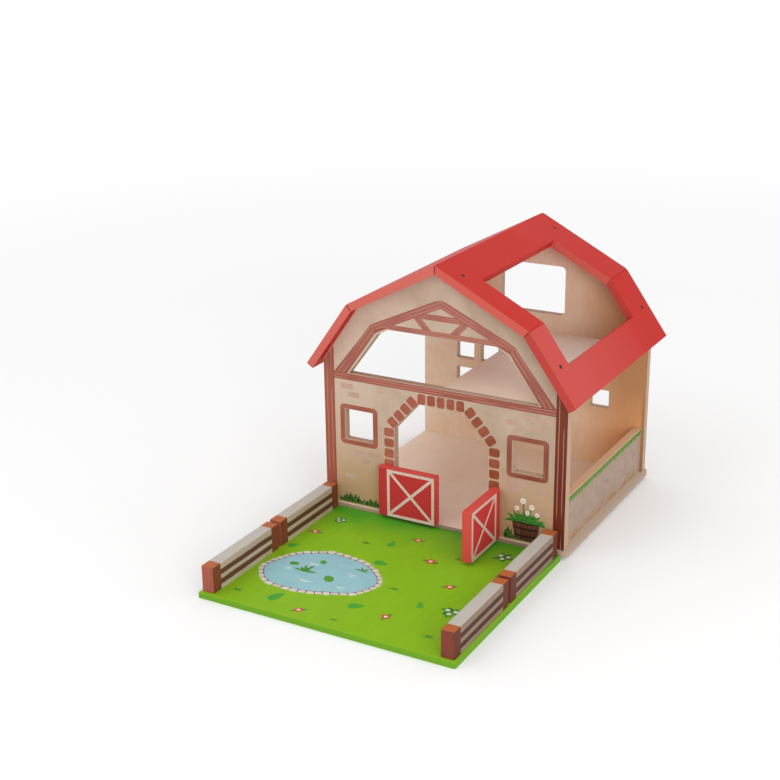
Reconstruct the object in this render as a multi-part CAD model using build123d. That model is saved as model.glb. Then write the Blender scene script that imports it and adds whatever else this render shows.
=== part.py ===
"""Toy barn with opening doors: a plywood gable barn, a fenced yard board and two swinging doors.

Frame: X to the right as seen from the yard, Y towards the back of the barn, Z up.
The origin is on the table under the middle of the whole toy.
All lengths are in millimetres and heights marked _H are measured from the barn's floor.
"""
from build123d import *
import math
import os

# ---------------------------------------------------------------- driving dimensions
# Gable walls and the line of the roof's underside
BARN_W = 250.0
BARN_D = 212.0
WALL_T = 8.0
SIDE_H = 144.5
KNEE_X = 86.5
KNEE_H = 199.0
RIDGE_H = 244.0

# Roof boards
ROOF_T = 7.5
GABLE_OVERHANG = 12.0
EAVE_OVERHANG = 8.8
SEAM_NOTCH = 0.9
ROOF_CUT_FROM_RIDGE = 35.0
ROOF_CUT_FROM_KNEE = 42.4
ROOF_CUT_FRONT_RIM = 31.0
ROOF_CUT_REAR_RIM = 44.0
ROOF_CUT_R = 2.0

# Base board and the two battens that lift it
BASE_T = 5.0
BASE_LIP = 3.0
BASE_CORNER_R = 6.0
BATTEN_T = 3.5
BATTEN_W = 16.0
BATTEN_END_INSET = 14.0
BATTEN_INSET = 12.0

# Doorway and windows of the front wall
DOORWAY_W = 98.0
DOORWAY_JAMB_H = 86.0
DOORWAY_H = 115.0
DOORWAY_TOP_W = 46.6
WINDOW_X = 87.3
WINDOW_W = 30.0
WINDOW_SILL_H = 67.0
WINDOW_TALL = 30.5
WINDOW_R = 1.5

# Loft opening of the front wall, from its sill up
LOFT_SILL_H = 134.0
LOFT_BOTTOM_W = 194.0
LOFT_SHOULDER_W = 132.0
LOFT_SHOULDER_H = 176.0
LOFT_TOP_W = 109.0
LOFT_TOP_H = 182.5

# Windows of the back wall
HAY_WINDOW_W = 70.0
HAY_WINDOW_SILL_H = 153.5
HAY_WINDOW_TALL = 50.5
HAY_WINDOW_R = 5.0
PANE_W = 20.0
PANE_TALL = 19.0
PANE_PITCH_X = 28.0
PANE_PITCH_Z = 29.0
PANES_X = 62.0
PANES_H = 86.0
PANE_R = 1.0

# Loft floor and the low wall on the right
LOFT_FLOOR_T = 6.0
LOFT_FLOOR_W = 122.0
LOFT_TONGUE = 2.0
LOW_WALL_T = 8.0
LOW_WALL_INSET = 3.0
LOW_WALL_TALL = 47.0

# Doors and the bent pins that they turn on
DOOR_T = 9.5
DOOR_TALL = 49.0
DOOR_PIVOT_X = 58.0
DOOR_MEETING_GAP = 2.0
DOOR_WALL_GAP = 0.7
DOOR_FLOOR_GAP = 0.3
DOOR_EDGE_R = 0.8
DOOR_REST_OPEN_DEG = 90.0
PIN_D = 2.0
PIN_DROP = 1.8
PIN_BEND_R = 1.6
PIN_IN_BASE = 10.0
PIN_IN_DOOR = 28.0
PIN_RUNNING_FIT = 0.05
PIN_END_ROOM = 0.5

# Yard board, its fences and their pegs
YARD_W = 247.0
YARD_D = 210.2
YARD_T = 5.5
YARD_GAP = 0.3
YARD_EDGE_R = 1.5
FENCE_T = 12.0
FENCE_TALL = 24.2
FENCE_EDGE_R = 0.6
FENCE_SIDE_INSET = 2.5
FENCE_REAR_INSET = 2.7
FENCE_REAR_L = 100.0
FENCE_GAP = 4.0
FENCE_FRONT_L = 100.0
PEG_D = 4.0
PEG_IN_FENCE = 10.0
PEG_IN_YARD = 3.0
PEG_FROM_END = 15.0
PEG_FIT = 0.05
PEG_END_ROOM = 0.3

# Screws and dowels
SCREW_D = 2.4
SCREW_L = 22.0
SCREW_HEAD_D = 4.2
SCREW_HEAD_T = 1.2
SCREW_CROSS_W = 0.5
SCREW_CROSS_L = 2.4
SCREW_CROSS_DEPTH = 0.6
FIXED_FIT = 0.02
FIXED_END_ROOM = 0.3
ROOF_SCREW_FROM_RIDGE = 22.5
ROOF_SCREW_FROM_KNEE = 39.8
WALL_SCREW_FROM_SIDE = 22.0
WALL_SCREW_SPACING = 38.0
LOW_WALL_SCREW_INSET = 50.0
DOWEL_D = 4.0
DOWEL_IN_GABLE = 5.0
DOWEL_IN_LOW_WALL = 9.0
DOWEL_H = 12.0
DOWEL_PITCH = 23.0

CUT_EXTRA = 1.0
CUT_EDGE_R = 0.5

# ---------------------------------------------------------------- places worked out from them
HALF_W = BARN_W / 2
FLOOR_Z = BATTEN_T + BASE_T
FRONT_REACH = BASE_LIP + YARD_GAP + YARD_D
REAR_REACH = BARN_D + GABLE_OVERHANG
FRONT_Y = (FRONT_REACH - REAR_REACH) / 2
FRONT_INNER_Y = FRONT_Y + WALL_T
BACK_Y = FRONT_Y + BARN_D
BACK_INNER_Y = BACK_Y - WALL_T
ROOF_FRONT_Y = FRONT_Y - GABLE_OVERHANG
ROOF_BACK_Y = BACK_Y + GABLE_OVERHANG
YARD_BACK_Y = FRONT_Y - BASE_LIP - YARD_GAP
YARD_FRONT_Y = YARD_BACK_Y - YARD_D
PIVOT_Y = FRONT_Y - DOOR_WALL_GAP - DOOR_T / 2
LEAF_L = DOOR_PIVOT_X - DOOR_MEETING_GAP / 2
LOW_WALL_X = HALF_W - LOW_WALL_INSET - LOW_WALL_T / 2


def floor(height):
    """Z of a height above the barn's floor."""
    return FLOOR_Z + height


# ---------------------------------------------------------------- roof line
def unit(start, end):
    """Unit vector from one XZ point to another."""
    length = math.dist(start, end)
    return ((end[0] - start[0]) / length, (end[1] - start[1]) / length)


def along(point, direction, distance):
    """XZ point that lies a distance from another in a direction."""
    return (point[0] + direction[0] * distance, point[1] + direction[1] * distance)


RIDGE_IN = (0.0, floor(RIDGE_H))
KNEE_IN = (KNEE_X, floor(KNEE_H))
SIDE_IN = (HALF_W, floor(SIDE_H))
UPPER_DOWN = unit(RIDGE_IN, KNEE_IN)
LOWER_DOWN = unit(KNEE_IN, SIDE_IN)
UPPER_OUT = (-UPPER_DOWN[1], UPPER_DOWN[0])
LOWER_OUT = (-LOWER_DOWN[1], LOWER_DOWN[0])
KNEE_TURN = math.acos(UPPER_OUT[0] * LOWER_OUT[0] + UPPER_OUT[1] * LOWER_OUT[1])
KNEE_MITRE = unit((0, 0), (UPPER_OUT[0] + LOWER_OUT[0], UPPER_OUT[1] + LOWER_OUT[1]))
RIDGE_OUT = (0.0, RIDGE_IN[1] + ROOF_T / UPPER_OUT[1])
KNEE_OUT = along(KNEE_IN, KNEE_MITRE, ROOF_T / math.cos(KNEE_TURN / 2))
EAVE_IN = along(SIDE_IN, LOWER_DOWN, EAVE_OVERHANG)
EAVE_OUT = along(EAVE_IN, LOWER_OUT, ROOF_T)


# ---------------------------------------------------------------- small helpers
def panel(sketch, front_y, thickness):
    """Stand an XZ sketch up and thicken it towards the back."""
    return extrude(Plane.XZ.offset(-front_y) * sketch, amount=thickness, dir=(0, 1, 0))


def outline(points):
    """XZ sketch from its corner points."""
    return Polygon(*points, align=None)


def mirrored(points):
    """Close an outline by adding the mirror image of its right half."""
    return list(points) + [(-x, z) for x, z in reversed(points)]


def box_between(x0, x1, y0, y1, z0, z1):
    """Box from its limits."""
    return Pos((x0 + x1) / 2, (y0 + y1) / 2, (z0 + z1) / 2) * Box(x1 - x0, y1 - y0, z1 - z0)


def rod(radius, start, direction, length):
    """Round rod that starts at a point and runs in a direction."""
    return Plane(origin=start, z_dir=direction) * Pos(0, 0, length / 2) * Cylinder(radius, length)


def soften_cut(board, cutter_sketch, front_y, thickness):
    """Round the edges of one cut-out on both faces of an upright board."""
    faces = [front_y, front_y + thickness]
    rim = panel(cutter_sketch, front_y, thickness).edges()
    rim = [edge for edge in rim if any(abs(edge.center().Y - y) < 1e-4 for y in faces)]
    centres = [edge.center() for edge in rim]
    found = [e for e in board.edges() if any((e.center() - c).length < 1e-3 for c in centres)]
    return fillet(found, CUT_EDGE_R)


# ---------------------------------------------------------------- screws and dowels
def screw_body(extra=0.0, end_room=0.0):
    """Countersunk screw that points down from its head at the origin, or the hole for it."""
    shank_l = SCREW_L - SCREW_HEAD_T + end_room
    shank = Pos(0, 0, -SCREW_HEAD_T - shank_l / 2) * Cylinder(SCREW_D / 2 + extra, shank_l)
    head = Cone(SCREW_D / 2 + extra, SCREW_HEAD_D / 2 + extra, SCREW_HEAD_T)
    return shank + Pos(0, 0, -SCREW_HEAD_T / 2) * head


def screw():
    """One screw with its cross recess."""
    body = screw_body()
    for length, width in ((SCREW_CROSS_L, SCREW_CROSS_W), (SCREW_CROSS_W, SCREW_CROSS_L)):
        body -= Pos(0, 0, -SCREW_CROSS_DEPTH / 2) * Box(length, width, SCREW_CROSS_DEPTH)
    return body


def roof_screw_seats():
    """Planes of the roof screws: one per board and gable wall, square to the board."""
    seats = []
    for start, down, out, distance in (
        (RIDGE_OUT, UPPER_DOWN, UPPER_OUT, ROOF_SCREW_FROM_RIDGE),
        (KNEE_OUT, LOWER_DOWN, LOWER_OUT, ROOF_SCREW_FROM_KNEE),
    ):
        x, z = along(start, down, distance)
        for side in (-1, 1):
            for y in (FRONT_Y + WALL_T / 2, BACK_Y - WALL_T / 2):
                seats.append(Plane(origin=(side * x, y, z), z_dir=(side * out[0], 0, out[1])))
    return seats


def base_screw_seats():
    """Planes of the screws that come up through the base board into the walls."""
    outer = HALF_W - WALL_SCREW_FROM_SIDE
    places = []
    for y in (FRONT_Y + WALL_T / 2, BACK_Y - WALL_T / 2):
        for x in (outer, outer - WALL_SCREW_SPACING):
            places += [(x, y), (-x, y)]
    for y in (FRONT_INNER_Y + LOW_WALL_SCREW_INSET, BACK_INNER_Y - LOW_WALL_SCREW_INSET):
        places.append((LOW_WALL_X, y))
    return [Plane(origin=(x, y, BATTEN_T), z_dir=(0, 0, -1)) for x, y in places]


def dowel_spots():
    """Start point and direction of each dowel between the low wall and a gable wall."""
    spots = []
    for z in (floor(DOWEL_H), floor(DOWEL_H + DOWEL_PITCH)):
        spots.append(((LOW_WALL_X, FRONT_INNER_Y - DOWEL_IN_GABLE, z), (0, 1, 0)))
        spots.append(((LOW_WALL_X, BACK_INNER_Y + DOWEL_IN_GABLE, z), (0, -1, 0)))
    return spots


def screw_holes(seats):
    """Holes for the screws at these seats."""
    return [seat * screw_body(FIXED_FIT, FIXED_END_ROOM) for seat in seats]


def dowel_holes():
    """Holes for the wall dowels, with a little room past both ends."""
    length = DOWEL_IN_GABLE + DOWEL_IN_LOW_WALL + 2 * FIXED_END_ROOM
    holes = []
    for start, direction in dowel_spots():
        back = tuple(s - d * FIXED_END_ROOM for s, d in zip(start, direction))
        holes.append(rod(DOWEL_D / 2 + FIXED_FIT, back, direction, length))
    return holes


# ---------------------------------------------------------------- barn
def base_board():
    x0, x1 = -HALF_W, HALF_W + BASE_LIP
    y0, y1 = FRONT_Y - BASE_LIP, BACK_Y + BASE_LIP
    board = box_between(x0, x1, y0, y1, BATTEN_T, FLOOR_Z)
    right_corners = board.edges().filter_by(Axis.Z).group_by(Axis.X)[-1]
    board = fillet(right_corners, BASE_CORNER_R)
    for side in (-1, 1):
        board -= pin_shape(side, PIN_D / 2 + FIXED_FIT, FIXED_END_ROOM)
    return board - screw_holes(base_screw_seats())


def batten(y_near_wall, towards_middle):
    y0, y1 = sorted((y_near_wall, y_near_wall + towards_middle * BATTEN_W))
    reach = HALF_W - BATTEN_END_INSET
    return box_between(-reach, reach, y0, y1, 0, BATTEN_T)


def gable_outline():
    """Outline of a gable wall, up to the underside of the roof."""
    right = [(HALF_W, FLOOR_Z), SIDE_IN, KNEE_IN]
    left = [(-x, z) for x, z in reversed(right)]
    return outline(right + [RIDGE_IN] + left)


def doorway():
    half, top = DOORWAY_W / 2, DOORWAY_TOP_W / 2
    right = [(half, FLOOR_Z - CUT_EXTRA), (half, floor(DOORWAY_JAMB_H)), (top, floor(DOORWAY_H))]
    return outline(mirrored(right))


def front_window(side):
    middle = floor(WINDOW_SILL_H + WINDOW_TALL / 2)
    return Pos(side * WINDOW_X, middle) * RectangleRounded(WINDOW_W, WINDOW_TALL, WINDOW_R)


def loft_opening():
    right = [
        (LOFT_BOTTOM_W / 2, floor(LOFT_SILL_H)),
        (LOFT_SHOULDER_W / 2, floor(LOFT_SHOULDER_H)),
        (LOFT_TOP_W / 2, floor(LOFT_TOP_H)),
    ]
    return outline(mirrored(right))


def hay_window():
    middle = floor(HAY_WINDOW_SILL_H + HAY_WINDOW_TALL / 2)
    return Pos(0, middle) * RectangleRounded(HAY_WINDOW_W, HAY_WINDOW_TALL, HAY_WINDOW_R)


def back_panes():
    """The two cross windows, four panes each."""
    panes = []
    for side in (-1, 1):
        for dx in (-PANE_PITCH_X / 2, PANE_PITCH_X / 2):
            for dz in (-PANE_PITCH_Z / 2, PANE_PITCH_Z / 2):
                spot = Pos(side * PANES_X + dx, floor(PANES_H) + dz)
                panes.append(spot * RectangleRounded(PANE_W, PANE_TALL, PANE_R))
    return panes


def cut_wall(front_y, cuts):
    """Gable wall with its cut-outs, their edges softened."""
    sketch = gable_outline()
    for cut in cuts:
        sketch -= cut
    wall = panel(sketch, front_y, WALL_T)
    for cut in cuts:
        wall = soften_cut(wall, cut, front_y, WALL_T)
    return wall


def drill_wall(wall):
    """Cut the loft floor's groove and the screw and dowel holes that reach a gable wall."""
    for tool in [loft_floor()] + screw_holes(roof_screw_seats() + base_screw_seats()) + dowel_holes():
        wall -= tool
    return wall


def front_wall():
    cuts = [doorway(), front_window(-1), front_window(1), loft_opening()]
    return drill_wall(cut_wall(FRONT_Y, cuts))


def back_wall():
    return drill_wall(cut_wall(BACK_INNER_Y, [hay_window()] + back_panes()))


def loft_floor():
    y0, y1 = FRONT_INNER_Y - LOFT_TONGUE, BACK_INNER_Y + LOFT_TONGUE
    top = floor(LOFT_SILL_H)
    return box_between(0, LOFT_FLOOR_W, y0, y1, top - LOFT_FLOOR_T, top)


def right_low_wall():
    x0, x1 = LOW_WALL_X - LOW_WALL_T / 2, LOW_WALL_X + LOW_WALL_T / 2
    wall = box_between(x0, x1, FRONT_INNER_Y, BACK_INNER_Y, FLOOR_Z, floor(LOW_WALL_TALL))
    wall = fillet(wall.edges().filter_by(Axis.Y).group_by(Axis.Z)[-1], CUT_EDGE_R)
    return wall - screw_holes(base_screw_seats()) - dowel_holes()


def wall_dowels():
    length = DOWEL_IN_GABLE + DOWEL_IN_LOW_WALL
    return Compound([rod(DOWEL_D / 2, start, way, length) for start, way in dowel_spots()])


# ---------------------------------------------------------------- roof
def roof_board(points):
    """Roof board from its XZ outline, the full length of the roof."""
    return panel(outline(points), ROOF_FRONT_Y, ROOF_BACK_Y - ROOF_FRONT_Y)


def upper_points():
    """Outline of the right upper board, with notched seams at the ridge and the knee."""
    notch_ridge = along(RIDGE_OUT, UPPER_DOWN, SEAM_NOTCH)
    notch_knee = along(KNEE_OUT, UPPER_DOWN, -SEAM_NOTCH)
    ridge_low = (0.0, RIDGE_OUT[1] - SEAM_NOTCH)
    knee_low = along(KNEE_OUT, KNEE_MITRE, -SEAM_NOTCH)
    return [RIDGE_IN, ridge_low, notch_ridge, notch_knee, knee_low, KNEE_IN]


def lower_points():
    """Outline of the right lower board, with a notched seam at the knee."""
    knee_low = along(KNEE_OUT, KNEE_MITRE, -SEAM_NOTCH)
    notch_knee = along(KNEE_OUT, LOWER_DOWN, SEAM_NOTCH)
    return [KNEE_IN, knee_low, notch_knee, EAVE_OUT, EAVE_IN]


def roof_cut(origin, down, out, start, end):
    """Rounded hole through a sloping board, from one distance down the slope to another."""
    y0, y1 = ROOF_FRONT_Y + ROOF_CUT_FRONT_RIM, ROOF_BACK_Y - ROOF_CUT_REAR_RIM
    x, z = along(origin, down, (start + end) / 2)
    face = Plane(origin=(x, (y0 + y1) / 2, z), x_dir=(down[0], 0, down[1]), z_dir=(out[0], 0, out[1]))
    hole = RectangleRounded(end - start, y1 - y0, ROOF_CUT_R)
    return extrude(face * hole, amount=2 * ROOF_T, both=True)


def finish_roof_board(board):
    for hole in screw_holes(roof_screw_seats()):
        board -= hole
    return board


def roof_left_upper():
    return finish_roof_board(roof_board([(-x, z) for x, z in upper_points()]))


def roof_left_lower():
    return finish_roof_board(roof_board([(-x, z) for x, z in lower_points()]))


def roof_right_upper():
    past_knee = math.dist(RIDGE_OUT, KNEE_OUT) + 2 * ROOF_T
    cut = roof_cut(RIDGE_OUT, UPPER_DOWN, UPPER_OUT, ROOF_CUT_FROM_RIDGE, past_knee)
    return finish_roof_board(roof_board(upper_points()) - cut)


def roof_right_lower():
    cut = roof_cut(KNEE_OUT, LOWER_DOWN, LOWER_OUT, -2 * ROOF_T, ROOF_CUT_FROM_KNEE)
    return finish_roof_board(roof_board(lower_points()) - cut)


def screws(seats):
    return Compound([seat * screw() for seat in seats])


# ---------------------------------------------------------------- doors
def pin_shape(side, radius, end_room=0.0):
    """Bent pin: a leg driven into the base board's front edge, a bend, and a leg that stands up."""
    low = FLOOR_Z - PIN_DROP
    inner_y = FRONT_Y - BASE_LIP + PIN_IN_BASE + end_room
    top = floor(DOOR_FLOOR_GAP + PIN_IN_DOOR)
    x = side * DOOR_PIVOT_X
    path = FilletPolyline((x, inner_y, low), (x, PIVOT_Y, low), (x, PIVOT_Y, top), radius=PIN_BEND_R)
    return sweep(Plane(origin=(x, inner_y, low), z_dir=(0, -1, 0)) * Circle(radius), path)


def hinge_pin(side):
    return pin_shape(side, PIN_D / 2)


def leaf():
    """Door leaf from its pivot at the origin along +X, with a round hinge end, standing on Z 0."""
    half = DOOR_T / 2
    plan = Circle(half) + Pos(LEAF_L / 2, 0) * Rectangle(LEAF_L, DOOR_T)
    board = extrude(plan, amount=DOOR_TALL)
    free_end = board.edges().filter_by(Axis.Z).group_by(Axis.X)[-1]
    board = fillet(free_end, DOOR_EDGE_R)
    rims = board.edges().group_by(Axis.Z)
    board = fillet(rims[0] + rims[-1], DOOR_EDGE_R)
    hole_l = PIN_IN_DOOR + PIN_END_ROOM
    return board - Pos(0, 0, hole_l / 2) * Cylinder(PIN_D / 2 + PIN_RUNNING_FIT, hole_l)


def left_door():
    return Pos(-DOOR_PIVOT_X, PIVOT_Y, floor(DOOR_FLOOR_GAP)) * leaf()


def right_door():
    turn = Rot(0, 0, 180 + DOOR_REST_OPEN_DEG)
    return Pos(DOOR_PIVOT_X, PIVOT_Y, floor(DOOR_FLOOR_GAP)) * turn * leaf()


# ---------------------------------------------------------------- yard
def fence_span(rear):
    """Y limits of a rear or a front fence."""
    y1 = YARD_BACK_Y - FENCE_REAR_INSET
    y0 = y1 - FENCE_REAR_L
    if rear:
        return y0, y1
    return y0 - FENCE_GAP - FENCE_FRONT_L, y0 - FENCE_GAP


def fence_x(side):
    """X of the middle of a fence."""
    return side * (YARD_W / 2 - FENCE_SIDE_INSET - FENCE_T / 2)


def peg_spots(side, rear):
    y0, y1 = fence_span(rear)
    return [(fence_x(side), y0 + PEG_FROM_END), (fence_x(side), y1 - PEG_FROM_END)]


def fence(side, rear):
    y0, y1 = fence_span(rear)
    x0, x1 = fence_x(side) - FENCE_T / 2, fence_x(side) + FENCE_T / 2
    block = box_between(x0, x1, y0, y1, YARD_T, YARD_T + FENCE_TALL)
    block = fillet(block.edges() - block.edges().group_by(Axis.Z)[0], FENCE_EDGE_R)
    hole_l = PEG_IN_FENCE + FIXED_END_ROOM
    for x, y in peg_spots(side, rear):
        block -= rod(PEG_D / 2 + FIXED_FIT, (x, y, YARD_T), (0, 0, 1), hole_l)
    return block


def fence_pegs(side, rear):
    length = PEG_IN_FENCE + PEG_IN_YARD
    bottom = YARD_T - PEG_IN_YARD
    spots = peg_spots(side, rear)
    return Compound([rod(PEG_D / 2, (x, y, bottom), (0, 0, 1), length) for x, y in spots])


def yard_board():
    board = box_between(-YARD_W / 2, YARD_W / 2, YARD_FRONT_Y, YARD_BACK_Y, 0, YARD_T)
    board = fillet(board.edges().filter_by(Axis.Z), YARD_EDGE_R)
    board = fillet(board.edges().group_by(Axis.Z)[-1], YARD_EDGE_R)
    depth = PEG_IN_YARD + PEG_END_ROOM
    for side in (-1, 1):
        for rear in (True, False):
            for x, y in peg_spots(side, rear):
                board -= rod(PEG_D / 2 + PEG_FIT, (x, y, YARD_T - depth), (0, 0, 1), depth)
    return board


# ---------------------------------------------------------------- the whole toy
def make_nodes():
    """Every piece by its name."""
    nodes = {
        "base_board": base_board(),
        "front_batten": batten(FRONT_Y + BATTEN_INSET, 1),
        "rear_batten": batten(BACK_Y - BATTEN_INSET, -1),
        "front_wall": front_wall(),
        "back_wall": back_wall(),
        "right_low_wall": right_low_wall(),
        "loft_floor": loft_floor(),
        "roof_left_upper": roof_left_upper(),
        "roof_left_lower": roof_left_lower(),
        "roof_right_upper": roof_right_upper(),
        "roof_right_lower": roof_right_lower(),
        "roof_screws": screws(roof_screw_seats()),
        "base_screws": screws(base_screw_seats()),
        "wall_dowels": wall_dowels(),
        "left_door": left_door(),
        "right_door": right_door(),
        "left_hinge_pin": hinge_pin(-1),
        "right_hinge_pin": hinge_pin(1),
        "yard_board": yard_board(),
    }
    for side_name, side in (("left", -1), ("right", 1)):
        for place, rear in (("rear", True), ("front", False)):
            nodes[f"{place}_{side_name}_fence"] = fence(side, rear)
            nodes[f"{place}_{side_name}_fence_pegs"] = fence_pegs(side, rear)
    return nodes


os.makedirs("parts", exist_ok=True)
for name, solid in make_nodes().items():
    export_step(solid, f"parts/{name}.step")
    size = solid.bounding_box().size
    print(f"{name:26s} {size.X:7.1f} {size.Y:7.1f} {size.Z:7.1f} mm  {solid.volume / 1000:8.2f} cm3")
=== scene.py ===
# %% [markdown]
# # A wooden play barn with a fenced yard
#
# The toy is cut from plywood board: two gable walls, four painted roof boards, a base, a
# loft floor, a low wall, a yard board, two door leaves and four fence blocks. Every board
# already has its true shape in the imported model, so this file dresses it. Each board gets
# a finish made from nodes, and everything that a toy factory would print on it is laid on
# as its own thin film of ink, a tenth of a millimetre thick.

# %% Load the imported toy
import math
from contextlib import contextmanager
from functools import partial

import bmesh
import bpy
from mathutils import Matrix, Quaternion, Vector


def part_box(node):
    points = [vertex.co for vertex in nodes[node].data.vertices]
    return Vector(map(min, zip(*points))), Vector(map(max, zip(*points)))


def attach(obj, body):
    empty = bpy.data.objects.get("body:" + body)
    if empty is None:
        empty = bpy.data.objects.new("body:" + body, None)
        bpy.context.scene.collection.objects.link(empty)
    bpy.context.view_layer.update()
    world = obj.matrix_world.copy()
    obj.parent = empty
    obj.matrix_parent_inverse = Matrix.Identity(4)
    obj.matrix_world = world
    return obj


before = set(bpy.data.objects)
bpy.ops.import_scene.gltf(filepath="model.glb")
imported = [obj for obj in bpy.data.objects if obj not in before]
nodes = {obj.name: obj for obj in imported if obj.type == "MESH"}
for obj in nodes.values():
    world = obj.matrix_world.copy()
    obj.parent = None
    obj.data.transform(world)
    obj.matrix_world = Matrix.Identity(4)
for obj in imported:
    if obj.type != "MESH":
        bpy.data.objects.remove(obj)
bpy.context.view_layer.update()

# %% [markdown]
# Blender works in metres, and a toy is easier to think about in millimetres, so one
# constant turns one into the other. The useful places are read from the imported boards
# themselves: a print that is placed from the wall's own corner can't miss the wall.

# %% Read the useful places from the boards
MM = 0.001

wall_low, wall_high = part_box("front_wall")
low_wall_low, low_wall_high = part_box("right_low_wall")
yard_low, yard_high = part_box("yard_board")

FLOOR_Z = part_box("base_board")[1].z
FRONT_Y = wall_low.y
HALF_WALL = wall_high.x / MM
print(f"floor {FLOOR_Z / MM:.1f} mm up, gable wall {2 * HALF_WALL:.0f} mm wide")

# %% [markdown]
# ## Camera
#
# The toy is seen from the front right and from above, about three toy lengths away. The
# camera is aimed by three angles, because a picture's horizon is rarely quite level: it
# looks down 20 degrees and leans by less than one.

# %% Place the camera
CAMERA_PLACE = Vector((547.6, -1055.9, 562.7)) * MM
CAMERA_TURN = math.radians(29.63)
CAMERA_DOWN = math.radians(19.84)
CAMERA_LEAN = math.radians(-0.72)
CAMERA_LENS_MM = 64.2


def place_camera():
    """Camera at its place over the yard, looking down at the front of the barn."""
    camera = bpy.data.objects.new("camera", bpy.data.cameras.new("camera"))
    bpy.context.scene.collection.objects.link(camera)
    camera.data.lens = CAMERA_LENS_MM
    level = math.cos(CAMERA_DOWN)
    back = Vector((math.sin(CAMERA_TURN) * level, -math.cos(CAMERA_TURN) * level, math.sin(CAMERA_DOWN)))
    camera.rotation_mode = "QUATERNION"
    camera.rotation_quaternion = (-back).to_track_quat("-Z", "Y") @ Quaternion((0, 0, 1), CAMERA_LEAN)
    camera.location = CAMERA_PLACE + Vector((0, FRONT_Y, FLOOR_Z))
    bpy.context.scene.camera = camera
    return camera


print("camera at", [round(c, 3) for c in place_camera().location])

# %% [markdown]
# ## Small tools for finishes
#
# Colours are written as the sRGB hex values that a screen shows, and one function turns
# them into the linear values that the renderer needs. Another adds a node with its
# settings and fills its inputs in one go, so that each finish below reads from top to
# bottom. The inputs are a list, in the order in which the editor shows them, or are given
# by name. Map Range takes a value, the range it comes from and the range it goes to, Mix
# takes a factor and two colours, and Noise takes a place, a scale and a level of detail.
# A node given as an input stands for its first output, and a text for a hex colour. The
# mode is what a Math node does with its inputs, or what kind of thing a Mix node mixes.
#
# A pattern's size is given in millimetres and turned into a texture scale. Toy inks and
# paints are satin, so every finish starts with a low shine.

# %% Colour, node and scale helpers
AXES = "XYZ"


def colour(hex_value):
    """Linear colour from an sRGB hex value."""
    parts = [int(hex_value[i : i + 2], 16) / 255 for i in (0, 2, 4)]
    linear = [p / 12.92 if p <= 0.04045 else ((p + 0.055) / 1.055) ** 2.4 for p in parts]
    return (*linear, 1.0)


def per_metre(size_mm):
    """Texture scale at which a pattern's features are about this size."""
    return 1 / (size_mm * MM)


def fill_inputs(node, inputs):
    """Give a node's inputs their links, hex colours and values."""
    if isinstance(inputs, dict):
        pairs = [(node.inputs[name], value) for name, value in inputs.items()]
    else:
        pairs = zip([socket for socket in node.inputs if socket.enabled], inputs)
    for socket, value in pairs:
        if isinstance(value, bpy.types.Node):
            value = next(output for output in value.outputs if output.enabled)
        if isinstance(value, bpy.types.NodeSocket):
            node.id_data.links.new(value, socket)
        else:
            socket.default_value = colour(value) if isinstance(value, str) else value


def add_node(tree, kind, inputs=(), mode=None, **settings):
    """Add one node in its mode, with its settings, and fill its inputs."""
    node = tree.nodes.new("ShaderNode" + kind)
    if mode:
        settings["data_type" if kind == "Mix" else "operation"] = mode
    for key, value in settings.items():
        setattr(node, key, value)
    fill_inputs(node, inputs)
    return node


def new_finish(name, roughness, shine):
    """Material, the function that adds nodes to it, and its shader."""
    material = bpy.data.materials.new(name)
    material.use_nodes = True
    shader = material.node_tree.nodes["Principled BSDF"]
    fill_inputs(shader, {"Roughness": roughness, "Specular IOR Level": shine})
    return material, partial(add_node, material.node_tree), shader


def dress(material, *names):
    """Give packed boards a finish."""
    for name in names:
        for slot in nodes[name].material_slots:
            slot.material = material


# %% [markdown]
# Three patterns serve more than one finish. Every board's finish reads where a point lies
# and which way the surface faces there. Wood grain and brush marks are a noise that is
# drawn out along one axis. And where a coat shows its colour, the grain under it leaves
# faint ridges.

# %% Patterns that the finishes share
def read_surface(add):
    """A point's coordinates, whole and by axis, and the direction that its surface faces."""
    coords = add("TexCoord").outputs
    place = add("SeparateXYZ", [coords["Object"]]).outputs
    facing = add("SeparateXYZ", [coords["Normal"]]).outputs
    return coords["Object"], place, facing


def add_grain(add, where, axis, stretch, size_mm, **more):
    """Noise that is drawn out along one axis."""
    scale = [1.0, 1.0, 1.0]
    scale[AXES.index(axis)] = 1 / stretch
    drawn_out = add("Mapping", {"Vector": where, "Scale": scale})
    return add("TexNoise", {"Vector": drawn_out, "Scale": per_metre(size_mm), **more})


def show_coat(add, shader, coat, ridges, strength=0.25, ridge_mm=0.05):
    """Give the shader its colour and faint ridges."""
    bump = add("Bump", {"Strength": strength, "Distance": ridge_mm * MM, "Height": ridges})
    fill_inputs(shader, {"Base Color": coat, "Normal": bump})


# %% [markdown]
# ## Birch plywood with a printed face
#
# The gable walls, the loft floor, the low wall and the base are birch plywood. A printed
# face has a pale, uneven wash that lets the wood's fine grain show, and the face that
# looks into the barn is bare. Most boards grow warmer towards the foot, and the base takes
# a darker tone on its outer ledge. The back wall's bare face grows warmer to the right,
# painted warm bounce light and shade, and the loft floor is warmer at the front and paler
# towards the back, painted light against the roof's shade. The front wall's wash is
# darkened towards the right with painted shade. On a cut edge the plies show as thin light
# and dark layers. The same graph serves every board: the surface's own normal tells one
# face from the other and both from the edge, and the layers follow the board's thickness.
# At the back wall's foot the bare face is paler inside the barn, painted light against the
# shade there, and darker past the low wall, a painted shadow of the low wall.

# %% Plywood finish
PLY_MM = 1.6
GRAIN_MM = 1.4
GRAIN_STRETCH = 16
PATCH_MM = 38
# Height and strength of the painted light and shade at the back wall's foot.
PAINTED_LIGHT_FOOT_MM = 90
PAINTED_SHADE_PAST_LOW_WALL = -0.3
WARM_FOOT = ("Z", FLOOR_Z + 105 * MM, FLOOR_Z)


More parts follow.
